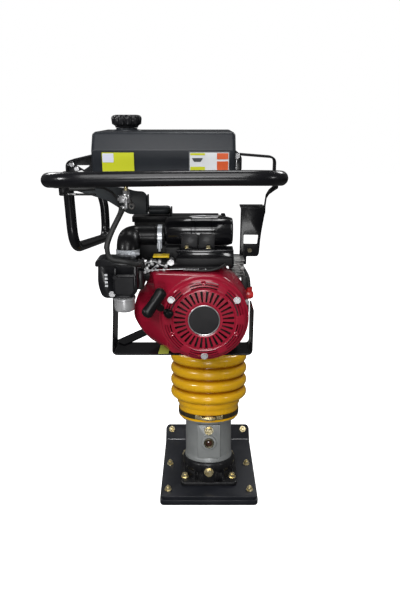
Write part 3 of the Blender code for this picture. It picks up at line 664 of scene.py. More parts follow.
def build_bellows():
    outer = bellows_outline()
    inner = [(r - 2.4, h) for r, h in reversed(outer)]
    lathe(outer + inner, LEG, 96, True)
    sleeve = place("bellows_sleeve", "amber_bellows", "bellows", body=None, smooth=60)
    stretch(sleeve)
    for body, z, r, node in (("foot", 163.5, 89.8, "lower_clamp"), ("machine", 364.5, 87.1, "upper_clamp")):
        lathe([(r, z), (r + 1.5, z), (r + 1.3, z + 2), (r + 1.3, z + 11), (r + 1.5, z + 13), (r, z + 13)],
                LEG, 96, True)
        for side in (-1, 1):
            for i in range(20):
                spot = LEG @ Matrix.Rotation(-math.pi / 2 + side * (0.17 + 0.05 * i), 4, "Z")
                box((r + 1, -1.1, z + 2.8), (r + 1.8, 1.1, z + 10.2), 0.3, 1, spot)
        place(f"{node}_band", "band_bronze" if body == "foot" else "oiled_steel", node, body=body)
        box((-12, -r - 8.5, z + 0.5), (12, -r - 1, z + 12.5), 2, 3, LEG)
        rod(on_leg(-19, -r - 6.5, z + 6.5), on_leg(18, -r - 6.5, z + 6.5), 4.6, 1, 24)
        for side in (-1, 1):
            spot = LEG @ Matrix.Rotation(-math.pi / 2 + side * 0.34, 4, "Z")
            box((r + 1.6, -10, z + 1.5), (r + 3, 10, z + 11.5), 0.6, 2, spot)
        place(f"{node}_worm", "yellow_zinc" if body == "foot" else "bright_steel", body=body)


# ---------------------------------------------------------------- recoil starter

CRANK = Vector((mid("recoil_cover").x, 0, mid("recoil_cover").z))
COVER_BACK = box_of("recoil_cover")[1].y
SLOTS = 32
LOUVRES = 6


def cover_depth(r):
    """How far the starter cover stands out at each radius: a flange, a rolled shoulder, a dished face."""
    steps = [(0, 15), (36, 15), (40, 15.8), (69.5, 15), (71, 13.8), (72.5, 14.6), (75, 15), (90, 12.8),
            (94.5, 10), (96.5, 5.2), (98.5, 3), (101.5, 2.6)]
    for (r0, d0), (r1, d1) in zip(steps, steps[1:]):
        if r <= r1:
            t = (r - r0) / (r1 - r0)
            return d0 + (d1 - d0) * t
    return steps[-1][1]


def in_slot(r, a):
    """True where the cover is open: radial slots, then rows of arc louvres outside them."""
    turn = a / math.tau
    if 42.5 < r < 68:
        share = (turn * SLOTS) % 1.0
        return 0.22 < share < 0.66
    if 75.5 < r < 78.5 or 81.5 < r < 84.5 or 87.5 < r < 89.5:
        share = (turn * LOUVRES) % 1.0
        return 0.12 < share < 0.88
    return False


def on_cover(radius, angle, depth=0):
    """A point on the starter cover's outer face, or a depth below it."""
    x, z = polar(radius, angle)
    return (CRANK.x + x, COVER_BACK - cover_depth(radius) + depth, CRANK.z + z)


def fan(count, point_at, radius):
    """A loop of bench points around a centre, or the centre repeated where the radius is nil."""
    if radius == 0:
        return [BENCH.verts.new(point_at(0))] * count
    return [BENCH.verts.new(point_at(math.tau * i / count)) for i in range(count)]


def quad(first, second, i, k):
    """One face between two loops, a triangle where one of them is a centre."""
    BENCH.faces.new(list(dict.fromkeys([first[i], second[i], second[k], first[k]])))


def build_recoil():
    radii = [0, 12, 24, 34, 36, 38, 40, 42.5, 47, 52, 57, 62, 68, 69.5, 71, 72.5, 75.5, 78.5, 80, 81.5, 84.5,
            86, 87.5, 89.5, 92, 94.5, 95.5, 96.5, 98.5, 100, 101.5]
    turns = SLOTS * 9
    grid = [fan(turns, lambda a: on_cover(r, a), r) for r in radii]
    for j in range(len(radii) - 1):
        centre = (radii[j] + radii[j + 1]) / 2
        for i in range(turns):
            if not in_slot(centre, math.tau * (i + 0.5) / turns):
                quad(grid[j], grid[j + 1], i, (i + 1) % turns)
    bmesh.ops.delete(BENCH, geom=[v for v in BENCH.verts if not v.link_faces], context="VERTS")
    bmesh.ops.recalc_face_normals(BENCH, faces=BENCH.faces[:])
    if sum(f.normal.y for f in BENCH.faces) > 0:
        bmesh.ops.reverse_faces(BENCH, faces=BENCH.faces[:])
    extrude(BENCH, BENCH.faces[:], (0, 2.2, 0))
    place("starter_cover", "deep_red", "recoil_cover", smooth=40)
    build_recoil_details()


def build_fan_housing():
    low, high = box_of("fan_housing")
    back = [(-146, 748), (22, 745), (60, 720), (85, 682), (91.5, 636), (80, 585), (45, 548), (-112, 548),
            (-140, 560), (-164, 586.5), (-183, 624), (-179.5, 653), (-170, 680), (-150.5, 698.5)]
    front = [(-132, 744), (16, 741), (54, 714), (77, 678), (83.5, 636), (73, 590), (41, 553), (-92, 549),
            (-98, 565), (-103, 590), (-109, 624), (-114, 655), (-120, 682), (-127, 706)]
    soft = [12, 30, 25, 30, 30, 30, 20, 15, 20, 30, 20, 20, 10, 10]
    outer = rounded(back, soft, 6)
    inner = rounded(front, soft, 6)
    loops = []
    for y, share, shrink in ((high.y, 0.0, 4), (high.y - 3, 0.0, 0), (high.y - 26, 0.0, 0),
            (high.y - 30, 0.06, 0), (low.y + 12, 0.8, 0), (low.y + 6, 0.93, 0), (low.y + 2, 0.99, 1),
            (low.y, 1.0, 4)):
        loop = []
        for a, b in zip(outer, inner):
            x = a[0] + (b[0] - a[0]) * share
            z = a[1] + (b[1] - a[1]) * share
            away = Vector((x - CRANK.x, z - CRANK.z))
            away = away * (1.0 - shrink / away.length)
            loop.append((CRANK.x + away.x, y, CRANK.z + away.y))
        loops.append(loop)
    skin([[BENCH.verts.new(p) for p in loop] for loop in loops])
    seam = [(-99, low.y + 0.8, 567), (-103.5, low.y + 0.8, 590), (-109.5, low.y + 0.8, 624),
            (-113.5, low.y + 0.8, 650)]
    pipe(seam, 1.4, 20, 6, 12)
    shell = place("fan_shroud", "deep_red", "fan_housing", smooth=40)
    lathe(corners(0, 0, 83, 70), at((CRANK.x, low.y - 10, CRANK.z), BACK), 96)
    cut_away(shell)
    bolt((79.5, low.y + 10.5, 672), (0.3, -1, 0), 9, 4.5, True, 0.3)
    place("fan_shroud_bolts", "bright_steel")


def build_starter_grip():
    g = mid("starter_grip")
    pull = Vector(JOINTS["starter_pull"]["axis"]).normalized()
    bar = Vector((0.55, 0.367, 0.75)).normalized()
    n = 48
    path = []
    scale = []
    for i in range(n + 1):
        t = -1 + 2 * i / n
        path.append(g + bar * 36.5 * t)
        cap = math.sqrt(max(0, 1 - max(0, (abs(t) - 0.7) / 0.3) ** 2))
        scale.append(max(0.06, cap) * (0.88 + 0.12 * min(1.0, abs(t) * 1.4)))
    sweep(path, circle(13.2, 32), False, scale)
    lathe([(0, 0), (6.8, 0), (8, 4), (8.8, 16), (11.2, 26), (0, 26)], at(g - pull * 27.5, pull), 28)
    place("starter_pull_grip", "moulded_rubber", "starter_grip", body="starter", smooth=50)
    seat = g - pull * 50
    steps = 60
    path = [seat + pull * (-3 + 27.5 * i / steps) for i in range(steps + 1)]
    sweep(path, circle(2.4, 12))
    rope = place("starter_cord", "black_rubber", "starter_rope", body=None, smooth=60)
    stretch(rope)
    lathe([(3, 0), (9.8, 0), (11, 3), (9.8, 11), (7.2, 16), (3, 16)], at(seat - pull * 5, pull), 36, True)
    place("starter_ferrule", "moulded_rubber")


def build_recoil_details():
    base = COVER_BACK
    front = at((CRANK.x, base - 15, CRANK.z), FRONT)
    lathe([(33.8, 0), (36, 0), (36, 2), (35, 2.6), (33.8, 2)], front, 96, True)
    place("starter_disc_rim", "satin_steel")
    lathe(corners(0, 0, 33.7, 1.8), front, 96)
    place("starter_disc", "disc_dark")
    for radius, degrees in ((87, 146.9), (87, 32.4), (88.5, 270.7)):
        a = math.radians(degrees)
        bolt(on_cover(radius, a), FRONT, 11.5, 5, True, a)
    place("starter_cover_bolts", "bright_steel")
    for radius, degrees in ((87.5, 91), (80, 205), (80, -25)):
        a = math.radians(degrees)
        lathe([(1.6, 0), (5.2, 0), (5.8, 1.4), (4, 3), (1.6, 1.2)], at(on_cover(radius, a, 0.6), FRONT), 28,
                True)
    place("starter_cover_bosses", "deep_red")
    # A near-black disc with radial ribs behind the cover: a dark sheet that paints the shade seen through the
    # slots.
    back = base - 4.5
    for i in range(24):
        a = math.tau * i / 24
        spot = Matrix.Translation((CRANK.x, 0, CRANK.z)) @ Matrix.Rotation(-a, 4, "Y")
        box((30, back, -0.6), (70, back + 10, 0.6), 0, 1, spot)
    lathe(corners(0, 0, 74, 2), at((CRANK.x, back + 10, CRANK.z), BACK), 72)
    place("starter_slot_shade_screen", "black_rubber")


# ---------------------------------------------------------------- engine, crankcase

def build_engine():
    low, high = box_of("engine_block")
    box(low, high, 9, 4)
    for i in range(7):
        y = low.y + 18 + i * 23
        box((low.x - 4, y, low.z + 18), (high.x + 4, y + 4, high.z - 14), 1.5, 2)
    prism(rounded([(low.x + 10, low.z - 6), (high.x - 10, low.z - 6), (high.x - 4, low.z + 16),
            (low.x + 4, low.z + 16)], 5), low.y + 10, high.y - 10, 2)
    place("engine_crankcase_casting", "cast_alloy", "engine_block", smooth=30)
    low, high = box_of("cylinder_barrel")
    box(off(low, 22, 20, 0), off(high, -24, -20, 0), 6, 3)
    fins = 13
    for i in range(fins):
        z = low.z + 10 + i * 8.8
        shape = rounded(corners(low.x, low.y, high.x, high.y), 12, 4)
        prism(shape, z, z + 2.1, 0.7, 1, plane="XY")
    place("engine_finned_barrel", "cast_alloy", "cylinder_barrel", smooth=30)
    low, high = box_of("cylinder_head")
    shape = rounded(corners(low.x, low.y, high.x, high.y), 14, 5)
    prism(shape, low.z, high.z - 10, 3, 3, plane="XY")
    inner = rounded(corners(low.x + 10, low.y + 10, high.x - 10, high.y - 10), 12, 5)
    prism(inner, high.z - 11, high.z, 4, 3, plane="XY")
    place("engine_valve_cover", "cast_alloy", "cylinder_head", smooth=30)
    for x in (low.x + 6, high.x - 6):
        for y in (low.y + 7, high.y - 7):
            bolt((x, y, high.z - 10), UP, 9, 5)
    place("engine_head_bolts", "yellow_zinc")


GEAR_Z = pivot("crank_turn").z
CRANK_CASE = 74.5
PINION_CASE = 21


def case_path(grow, steps=64):
    """The outline around the crank gear and the pinion above it, grown by a margin."""
    shaft = mid("clutch_drum")
    dx, dz = shaft.x, shaft.z - GEAR_Z
    big = CRANK_CASE + grow
    small = PINION_CASE + grow
    lobe = math.atan2(dz, dx)
    spread = math.acos((big - small) / math.hypot(dx, dz))
    points = []
    for i in range(steps + 1):
        a = lobe + spread + (math.tau - 2 * spread) * i / steps
        x, z = polar(big, a)
        points.append((x, GEAR_Z + z))
    for i in range(15):
        a = lobe - spread + 2 * spread * i / 14
        x, z = polar(small, a)
        points.append((dx + x, shaft.z + z))
    return points


def build_crankcase():
    low, high = box_of("crankcase")
    cover_low, cover_high = box_of("crankcase_cover")
    prism(case_path(9), 30, high.y, 3, 3)
    for y in (34, high.y - 10):
        prism(case_path(12.5), y, y + 7, 1.5)
    neck = [(0, 345), (81.2, 345), (81.2, 386), (83.5, 389), (83.5, 398), (79, 402), (74, 470), (0, 470)]
    lathe(neck, LEG, 72)
    for i in range(10):
        a = math.tau * (i + 0.5) / 10
        blade = [(60, 396), (81.5, 396), (76.5, 465), (60, 465)]
        prism(blade, -2.4, 2.4, 1, 2, LEG @ Matrix.Rotation(a, 4, "Z"))
    casting = place("crankcase_casting", "cast_alloy", "crankcase", smooth=30)
    rod(on_leg(0, 0, 330), on_leg(0, 0, 405.5), 62, 0.8, 48)
    cut_away(casting, True)
    prism(case_path(12.5), cover_low.y, cover_low.y + 6, 1.5)
    prism(case_path(-2), cover_low.y + 2, cover_high.y, 5, 4)
    boss = at((0, cover_high.y - 1, GEAR_Z), BACK)
    lathe([(0, 0), (26, 0), (24, 4), (12, 4.5), (11, 2), (0, 2)], boss, 40)
    place("crankcase_front_cover", "cast_alloy", "crankcase_cover", smooth=30)
    for i, (x, z) in list(enumerate(case_path(6, 40)[:-1]))[::7]:
        bolt((x, cover_low.y + 6, z), BACK, 10, 6, True, i)
    place("crankcase_cover_bolts", "yellow_zinc")
    low, high = box_of("clutch_housing")
    c = (low + high) / 2
    r = (high.x - low.x) / 2
    tube = [(r - 8, 0), (r, 0), (r + 3, 1), (r + 3, 9), (r, 10.5), (r, 47), (r + 3, 49), (r + 3, 57.5),
            (r - 8, 59.5)]
    lathe(tube, at((c.x, low.y, c.z), BACK), 72, True)
    place("clutch_bell_housing", "cast_alloy", "clutch_housing", smooth=30)
    low, high = box_of("muffler")
    box(low, high, 18, 5)
    box(off(low, -3, 34, 4), (high.x + 3, low.y + 38, high.z + 3), 1, 2)
    pipe([(20, high.y - 10, 765), (20, high.y + 12, 765), (45, high.y + 16, 765)], 9, 12, 6, 24)
    place("muffler_shell", "cast_alloy", "muffler", smooth=30)
    for x in range(5):
        for z in range(6):
            lathe(corners(0, 0, 3.5, 1.2), at((low.x + 22 + x * 14, high.y - 0.6, low.z + 22 + z * 10), BACK),
                    12)
    place("muffler_guard_studs", "oiled_steel")


# ---------------------------------------------------------------- induction side

def build_carburettor():
    low, high = box_of("carb_cover")
    outline = [(low.x + 12, low.z), (high.x - 16, low.z), (high.x, low.z + 14), (high.x, high.z - 12),
            (high.x - 12, high.z - 10), (low.x + 6, high.z - 10), (low.x + 3, low.z + 30)]
    prism(rounded(outline, [12, 16, 8, 6, 3, 3, 20], 6), low.y + 3, high.y, 4, 3, angle=30)
    lid = [(low.x, high.z - 16), (high.x - 4, high.z - 13), (high.x - 12, high.z - 2), (low.x + 10, high.z),
            (low.x + 1, high.z - 4)]
    prism(rounded(lid, [4, 4, 8, 6, 4], 5), low.y + 0.5, high.y, 2, 3, angle=30)
    rim = rounded(corners(low.x + 36, low.z + 6, high.x - 3, low.z + 54), [12, 12, 4, 8], 6)
    prism(rim, low.y + 0.4, low.y + 10, 1.8, 3, angle=30)
    shell = place("carb_cover_shell", "black_plastic", "carb_cover", smooth=40)
    room = rounded(corners(low.x + 41, low.z + 11, high.x - 8, low.z + 49), [10, 10, 3, 6], 6)
    prism(room, low.y - 4, low.y + 7.5, 0)
    cut_away(shell)
    bolt(off(low, 33, 3, 9.5), FRONT, 9.5, 3.5, True, 0.2)
    rod(off(low, 66, 7.4, 28), off(low, 66, 0.4, 28), 5, 1, 28)
    box(off(low, 52, 3, 19.5), off(low, 78, 5, 22.5), 0.6, 2)
    place("carb_cover_hardware", "bright_steel")
    for z in (26, 34, 42, 50):
        box((low.x + 19, low.y + 2.4, low.z + z), (low.x + 25, low.y + 3.4, low.z + z + 4.5), 0.3, 1)
    box(off(low, 49, 6.8, 38.5), off(low, 66, 7.8, 41), 0.3, 1)
    place("carb_cover_marks", "label_white")
    hub = pivot("choke_turn")
    lathe([(0, -3), (5.5, -3), (5.5, 3), (4, 4.5), (0, 4.5)], at((hub.x, low.y - 0.1, hub.z), FRONT), 28)
    arm = rounded([(hub.x - 2.4, hub.z), (hub.x + 2.4, hub.z), (hub.x + 3, hub.z + 22),
            (hub.x - 3, hub.z + 22)], 2, 4)
    prism(arm, low.y - 4, low.y - 1.2, 0.6)
    place("choke_lever_arm", "black_plastic", "choke_lever", body="choke")
    low, high = box_of("float_bowl")
    c = (low + high) / 2
    h = high.z - low.z
    bowl = [(0, 1), (6, 1), (6.5, 1.8), (19, 2.2), (21.2, 3.6), (22.4, 6.5), (22.8, 10), (22.8, h - 5),
            (24.5, h - 4), (24.5, h), (0, h)]
    lathe(bowl, at((c.x, c.y, low.z)), 72)
    bolt((c.x, c.y, low.z + 1), DOWN, 9, 3, False)
    place("carb_float_bowl", "bright_steel", "float_bowl", smooth=30)
    low, high = box_of("carburettor")
    box(off(low, 6, 0, 4), off(high, 0, 0, -2), 5, 3)
    rod((high.x - 6, -240, 728), (high.x + 45, -240, 736.5), 17, 2, 40)
    box((high.x + 16, -262, 706), (high.x + 21, -218, 752), 2, 2)
    place("carburettor_body", "dark_steel", "carburettor", smooth=30)


def build_linkage():
    """Small bright governor and throttle parts between the carburettor and the barrel."""
    shroud_top = box_of("fan_housing")[1].z
    top = shroud_top - 13
    y = -262
    strap([(-166, y, top + 10), (-150, y, top + 26), (-128, y, top + 32), (-108, y, top + 20),
            (-90, y, top + 26)], 14, 1.6, 6)
    strap([(-162, y - 8, top + 36), (-146, y - 8, top + 10), (-118, y - 8, top + 12)], 8, 1.6, 4)
    strap([(-168, y - 10, top + 4), (-140, y - 10, top + 8), (-124, y - 10, top + 22)], 5, 1.4, 4)
    for i in range(17):
        x = -168 + 4.7 * i
        z = 8 + 8.5 * ((i * 5) % 4) - 0.4 * i
        rod((x, y - 13 + 3 * (i % 3), top + z), (x, y + 10, top + z), 2.6 + 0.8 * (i % 3), 0.7, 18)
    rod((-90, y - 14, top + 30), (-90, y + 12, top + 30), 6.2, 1, 28)
    wire = [(-146, -281, top + 14.5), (-100, -285, top + 16.5), (-52, -285, top + 18), (-36, -284, top + 14),
            (-12, -284, top + 16.5)]
    pipe(wire, 1, 12, 6, 10)
    coil = []
    for i in range(145):
        a = math.tau * i / 12
        coil.append(Vector((-64 + 36 * i / 144, -285 + 2.6 * math.cos(a), top + 16.5 + 2.6 * math.sin(a))))
    sweep(coil, circle(0.6, 8))
    place("governor_linkage", "satin_steel")
    bolt((-90, y - 14, top + 30), FRONT, 9.5, 4.5)
    bolt((-132, y - 12, top + 26.5), (0.2, -1, 0), 5.2, 4)
    place("governor_bolts", "satin_steel")
    box((-129, -283, top + 45.5), (-94, -262, top + 47), 0.5, 2)
    box((-129, -284, top + 43), (-94, -282, top + 47), 0.5, 2)
    place("governor_yellow_plate", "label_gold")
    pipe([(-58, -285, top + 16.5), (-30, -286, top + 14.5), (-4, -286, top + 14.5), (16, -284, top + 19),
            (30, -268, top + 24)], 2.4, 20, 8, 14)
    place("throttle_inner_cable", "black_rubber")
    # Near-black blocks on top of the fan housing under the canister shelf: partly covers, partly painted shade
    # under the shelf.
    box((-148, -262, shroud_top + 0.6), (-75, -208, shroud_top + 14), 3, 3)
    box((-94, -277, shroud_top + 0.6), (18, -208, shroud_top + 6), 1.5, 2)
    box((-80, -262, shroud_top + 5), (46, -205, shroud_top + 22), 2, 2)
    place("shroud_top_cover_and_shade", "deep_black_and_shade")


def build_air_cleaner():
    low, high = box_of("air_canister")
    c = (low + high) / 2
    n = high.x - low.x
    r = 33.5
    profile = [(0, 0), (r - 12, 0), (r - 7, 1), (r - 3, 4), (r - 1.2, 9), (r - 0.8, 60), (r + 0.3, 61),
            (r + 0.5, 62.5), (r + 0.5, 68.5), (r - 1.2, 69.5), (r - 1.2, 71), (r + 0.5, 72), (r + 0.5, 106),
            (r - 1.2, 107), (r - 1.2, 108.6), (r + 0.2, 109.6), (r - 0.2, n - 12), (r - 2.2, n - 6),
            (r - 2.2, n - 4), (r - 4, n - 1.2), (r - 9, n), (0, n)]
    axis = at((low.x, c.y, c.z), RIGHT)
    lathe(profile, axis, 96)
    place("air_cleaner_body", "enamel_black", "air_canister", smooth=30)
    latch = [(low.x + 58, c.y - 6, c.z + r + 1.5), (low.x + 85, c.y - 8, c.z + r + 4),
            (low.x + 118, c.y - 6, c.z + r + 1.8), (low.x + 132, c.y - 4, c.z + r + 5)]
    pipe(latch, 1.3, 12, 6, 10)
    pipe([(low.x + 62, c.y - 14, c.z + r + 0.6), (low.x + 122, c.y - 14, c.z + r + 1)], 1, 10, 4, 10)
    place("air_cleaner_latch_wire", "satin_steel")
    rod((low.x + 134, c.y - 3, c.z + r - 4), (low.x + 134, c.y - 3, c.z + r + 8.5), 5, 1.5, 28)
    box((low.x + 128, c.y - 10, c.z + r - 6), (low.x + 141, c.y + 8, c.z + r + 3), 2, 3)
    place("air_cleaner_latch_block", "black_plastic")
    x0, x1 = -189, low.x - 0.3
    zc = mid("elbow_clamp").z
    path = fillet([(x1, c.y, zc), (x0, c.y, zc), (x0, -243, 802), (x0, -246, 752.8)], 27, 14)
    sweep(path, circle(25.2, 64))
    ring((x1, c.y, zc), (x1 - 4, c.y, zc), 20, 27.5, 1, 64)
    ring((x1 - 20, c.y, zc), (x1 - 23, c.y, zc), 20, 27.2, 1, 64)
    place("intake_rubber_elbow", "moulded_rubber", "intake_elbow", smooth=60)
    box((-180, -208, 752), (-60, -150, 800), 6, 3)
    box((-106, -236, 752), (-70, -204, 790), 4, 3)
    place("intake_shroud", "deep_black_and_shade")
    x = mid("elbow_clamp").x
    ring((x - 5.2, c.y, zc), (x + 5.2, c.y, zc), 25.3, 26.6, 0.3, 72)
    box((x - 5.5, c.y - 31, zc - 24), (x + 5.5, c.y - 24.5, zc - 10), 1.5, 2)
    rod((x, c.y - 30, zc - 30), (x, c.y - 30, zc - 6), 3.4, 0.8, 20)
    ring((x0, -244.5, 777), (x0, -243.5, 788), 25.3, 26.6, 0.3, 72)
    box((x0 + 8, -279, 777.5), (x0 + 22, -268, 788.5), 1.5, 2)
    rod((x0 + 4, -275, 783.5), (x0 + 29, -270, 783.5), 3.6, 0.8, 20)
    place("elbow_clamps", "clamp_steel", "elbow_clamp")


def build_canister_mount():
    low, high = box_of("canister_saddle")
    c = mid("air_canister")
    r = 34.7
    shelf = c.z - 31.8
    half = (high.x - low.x) / 2 - 0.6
    for x0, x1 in ((low.x, low.x + half), (high.x - half, high.x)):
        path = []
        for i in range(33):
            a = math.radians(186 + 80 * i / 32)
            path.append(Vector(((x0 + x1) / 2, c.y + r * math.cos(a), c.z + r * math.sin(a))))
        w = (x1 - x0) / 2
        sweep(path, corners(-0.8, -w, 0.8, w))
        tab = [(x0, shelf), (x1, shelf), (x1 - 1.5, c.z + 0.5), (x0 + 3.5, c.z + 1.5)]
        prism(rounded(tab, 1.5, 3), c.y - 37.2, c.y - 35.2, 0.7)
    box((low.x + 10, c.y - 52, shelf), (low.x + 24, c.y - 36, shelf + 2), 0.8, 2)
    box((high.x - 22, c.y - 52, shelf), (high.x - 8, c.y - 36, shelf + 2), 0.8, 2)
    place("canister_saddle_plates", "satin_black", "canister_saddle")
    x0, x1 = low.x - 10, 50
    box((x0, c.y - 57, shelf - 4), (x1, c.y - 14, shelf - 0.2), 1.4, 3)
    box((x0, c.y - 57.5, shelf - 7.5), (x1, c.y - 54.5, shelf - 0.8), 1.2, 3)
    box((x0 + 4, c.y - 50, shelf - 24), (x1 - 10, c.y - 30, shelf - 3), 3, 3)
    gusset = [(x1 - 40, shelf - 4), (x1, shelf - 4), (x1 + 1, shelf - 40), (x1 - 7, shelf - 44)]
    prism(rounded(gusset, 2, 4), c.y - 56, c.y - 53, 0.8)
    place("canister_shelf", "enamel_black")
    for x in (low.x + 13, high.x - 14.5):
        bolt((x, c.y - 44, shelf + 2), UP, 7.2, 4.5)
    place("canister_saddle_bolts", "yellow_zinc")


def build_spark():
    x, y = 90.5, -197.5
    pipe([(x, y, 657), (x, y + 0.3, 684)], 8.8, 10, 4, 32)
    box((x - 8, y - 9, 659), (x + 11.5, y + 6, 673), 3, 3)
    place("spark_cap_red", "cap_red")
    pipe([(x, y + 0.3, 682), (x - 2, y + 2, 708), (x - 20, y + 30, 735), (52, -150, 748)], 5.2, 20, 8, 24)
    box((71, -222, 684), (85, -206, 716), 4, 3)
    place("spark_lead", "black_rubber", "spark_boot")
    for i in range(7):
        z = 706.5 + 6.8 * i
        box((44, -196 + i % 2, z), (79.5 - 1.2 * (i % 3), -150, z + 2.2), 0.8, 2)
    box((48, -190, 702), (70, -155, 756), 3, 2)
    pipe([(50, -199, 748), (66, -200, 741), (78, -199, 722), (81, -198, 704)], 1.6, 10, 6, 12)
    rod((74, -204, 732), (74, -186, 732), 4.6, 1, 24)
    rod((60, -204, 716), (60, -186, 716), 4, 1, 24)
    place("head_side_fins", "cast_alloy")


# ---------------------------------------------------------------- tank

def build_tank():
    low, high = box_of("fuel_tank")
    top = 1045.5
    y0, y1 = low.y, high.y
    side = rounded([(y0 + 4, low.z), (y1 - 4, low.z), (y1, low.z + 60), (y1 - 12, top), (y0 + 22, top),
            (y0 + 1, 1014.5), (y0, 1012.5)], [18, 18, 20, 20, 7, 1.2, 1.2], 6)
    part = slab([(low.x, y, z) for y, z in side], (high.x - low.x, 0, 0))
    soften(part, sharp_edges(part, 60), 7.5, 5)
    take(part)
    place("fuel_tank_shell", "tank_plastic", "fuel_tank", smooth=50)
    for side_x, sign in ((high.x, 1), (low.x, -1)):
        x0, x1, x2 = side_x - sign * 4, side_x + sign * 8, side_x + sign * 19
        lug = [(x0, 965), (x2, 965), (x2, 992), (x1 + sign * 4, 1001.5), (x0, 1007.5)]
        prism(rounded(lug if sign > 0 else lug[::-1], 4, 4), -284, -222, 2.2, 3)
    place("fuel_tank_lugs", "black_plastic")
    for side_x, sign in ((high.x, 1), (low.x, -1)):
        bolt((side_x + sign * 8.5, -284.5, 994.5), FRONT, 8.5, 4.5)
        rod((side_x + sign * 7.5, -286, 987), (side_x + sign * 7.5, -286, 966), 1.2, 0.3, 12)
    place("fuel_tank_lug_bolts", "bright_steel")
    cap_low = box_of("fuel_cap")[0]
    cap = mid("fuel_cap")
    lathe([(0, 0), (31, 0), (29.5, 2.8), (21.5, 3.6), (21.5, 6.2), (0, 6.2)], at((cap.x, cap.y, top - 1.2)),
            64)
    place("fuel_filler_neck", "tank_plastic")
    levels = [(0, 22.8, 0), (3, 23.6, 0), (5, 26.2, 0.3), (6.8, 29.6, 1), (17, 30.8, 1), (20.5, 30.2, 0.9),
            (22.8, 28.2, 0.6), (24.2, 24.5, 0.2), (24.7, 20, 0), (23.8, 18, 0), (23.8, 0, 0)]
    count = 216
    loops = []
    for h, r, flute in levels:
        def spot(a):
            x, y = polar(r - flute * 3.2 * (0.5 + 0.5 * math.cos(a * 12)) ** 3, a)
            return (cap.x + x, cap.y + y, cap_low.z + h)

        loops.append(fan(count, spot, r))
    BENCH.faces.new(list(reversed(loops[0])))
    for first, second in zip(loops, loops[1:]):
        for i in range(count):
            quad(first, second, i, (i + 1) % count)
    place("fuel_cap_lobed", "black_plastic", "fuel_cap", body="cap", smooth=50)


def build_labels():
    """Plain coloured patches where the tank carries its decals; nothing is written on them."""
    face = box_of("fuel_tank")[0].y - 0.3
    rows = (("tank_patch_left_lime", "label_lime", -211.5, -151, 971, 1008.5, 0),
            ("tank_patch_left_white", "label_pale", -210.5, -189.5, 990.5, 1007, 0.3),
            ("tank_patch_right_white", "label_white", -45.5, 28.5, 972.5, 1008.5, 0),
            ("tank_patch_right_lime_low", "label_lime", -44.5, -16.5, 973.5, 982.5, 0.3),
            ("tank_patch_right_lime_high", "label_lime", -44.5, -16.5, 1003.5, 1007.5, 0.3),
            ("tank_patch_right_orange_top", "label_orange", 6, 27.5, 996, 1007.5, 0.3),
            ("tank_patch_right_orange_low", "label_orange", 6, 27.5, 973.5, 992.5, 0.3),
            ("tank_patch_right_edge", "label_dark", -47.5, 30.5, 970.5, 1010.5, -0.3), )
    for name, look, x0, x1, z0, z1, lift in rows:
        prism(rounded(corners(x0, z0, x1, z1), 1.2, 3), face - 0.4 - lift, face + 0.6 - lift, 0.1, 1)
        place(name, look, smooth=40)
    block = [(-37.5, 991.5), (-24.5, 991.5), (-20.5, 998.5), (-41.5, 998.5)]
    prism(rounded(block, 1.2, 3), face - 0.9, face + 0.3, 0.1, 1)
    place("tank_patch_right_dark", "label_dark", smooth=40)


def build_fuel_line():
    x, y = -180, -300
    rod((x, y, 955.5), (x, y, 922), 4.4, 1, 28)
    place("fuel_tap_brass_stem", "yellow_zinc")
    bolt((x, y, 926), DOWN, 13, 7, False)
    rod((x, y, 920), (x, y, 900.5), 8, 2, 40)
    box((x - 15, y - 7, 901), (x + 5, y + 7.5, 916.5), 2, 3)
    rod((x - 4, y, 903), (x - 4, y, 892), 4.6, 0.8, 24)
    bolt((x - 14.8, y, 908.5), LEFT, 8, 3)
    place("fuel_tap_body", "bright_steel", "petcock")
    hub = pivot("fuel_valve_turn")
    front = box_of("fuel_lever")[1].y
    lathe([(0, -2), (4.8, -2), (4.8, 3.6), (3.6, 5), (0, 5)], at((hub.x, front, hub.z), FRONT), 32)
    arm = rounded([(hub.x - 2.4, hub.z), (hub.x + 2.4, hub.z), (hub.x + 3.4, hub.z - 22),
            (hub.x - 3, hub.z - 22)], 2.2, 4)
    prism(arm, front - 5, front - 1.6, 0.8)
    place("fuel_tap_lever", "satin_steel", "fuel_lever", body="fuel_valve")
    hose = [(-184, y, 900), (-185, -301, 893), (-211, -330, 842), (-220, -344, 816), (-215, -346.5, 790),
            (-174, -346, 784), (-156, -336, 775), (-153.5, -277, 770), (-153.5, -277, 752.8)]
    pipe(hose, 5.3, 20, 12, 24)
    place("fuel_line", "black_rubber", "fuel_hose", smooth=60)
    ring((-185.6, -301.3, 891.5), (-188, -303, 888.5), 5.2, 6.2, 0.3, 28)
    place("fuel_line_clip", "bright_steel")
    ring((x + 10, y + 4, 893.5), (x + 10, y - 3, 893.5), 3.6, 6.6, 0.8, 32)
    rod((x + 8, y, 909), (x + 10, y, 899), 2.4, 0.6, 16)
    place("fuel_tap_loop", "dark_steel")


# ---------------------------------------------------------------- handle and frame parts

HANDLE_RADIUS = 13.8
HANDLE_BEND = 85


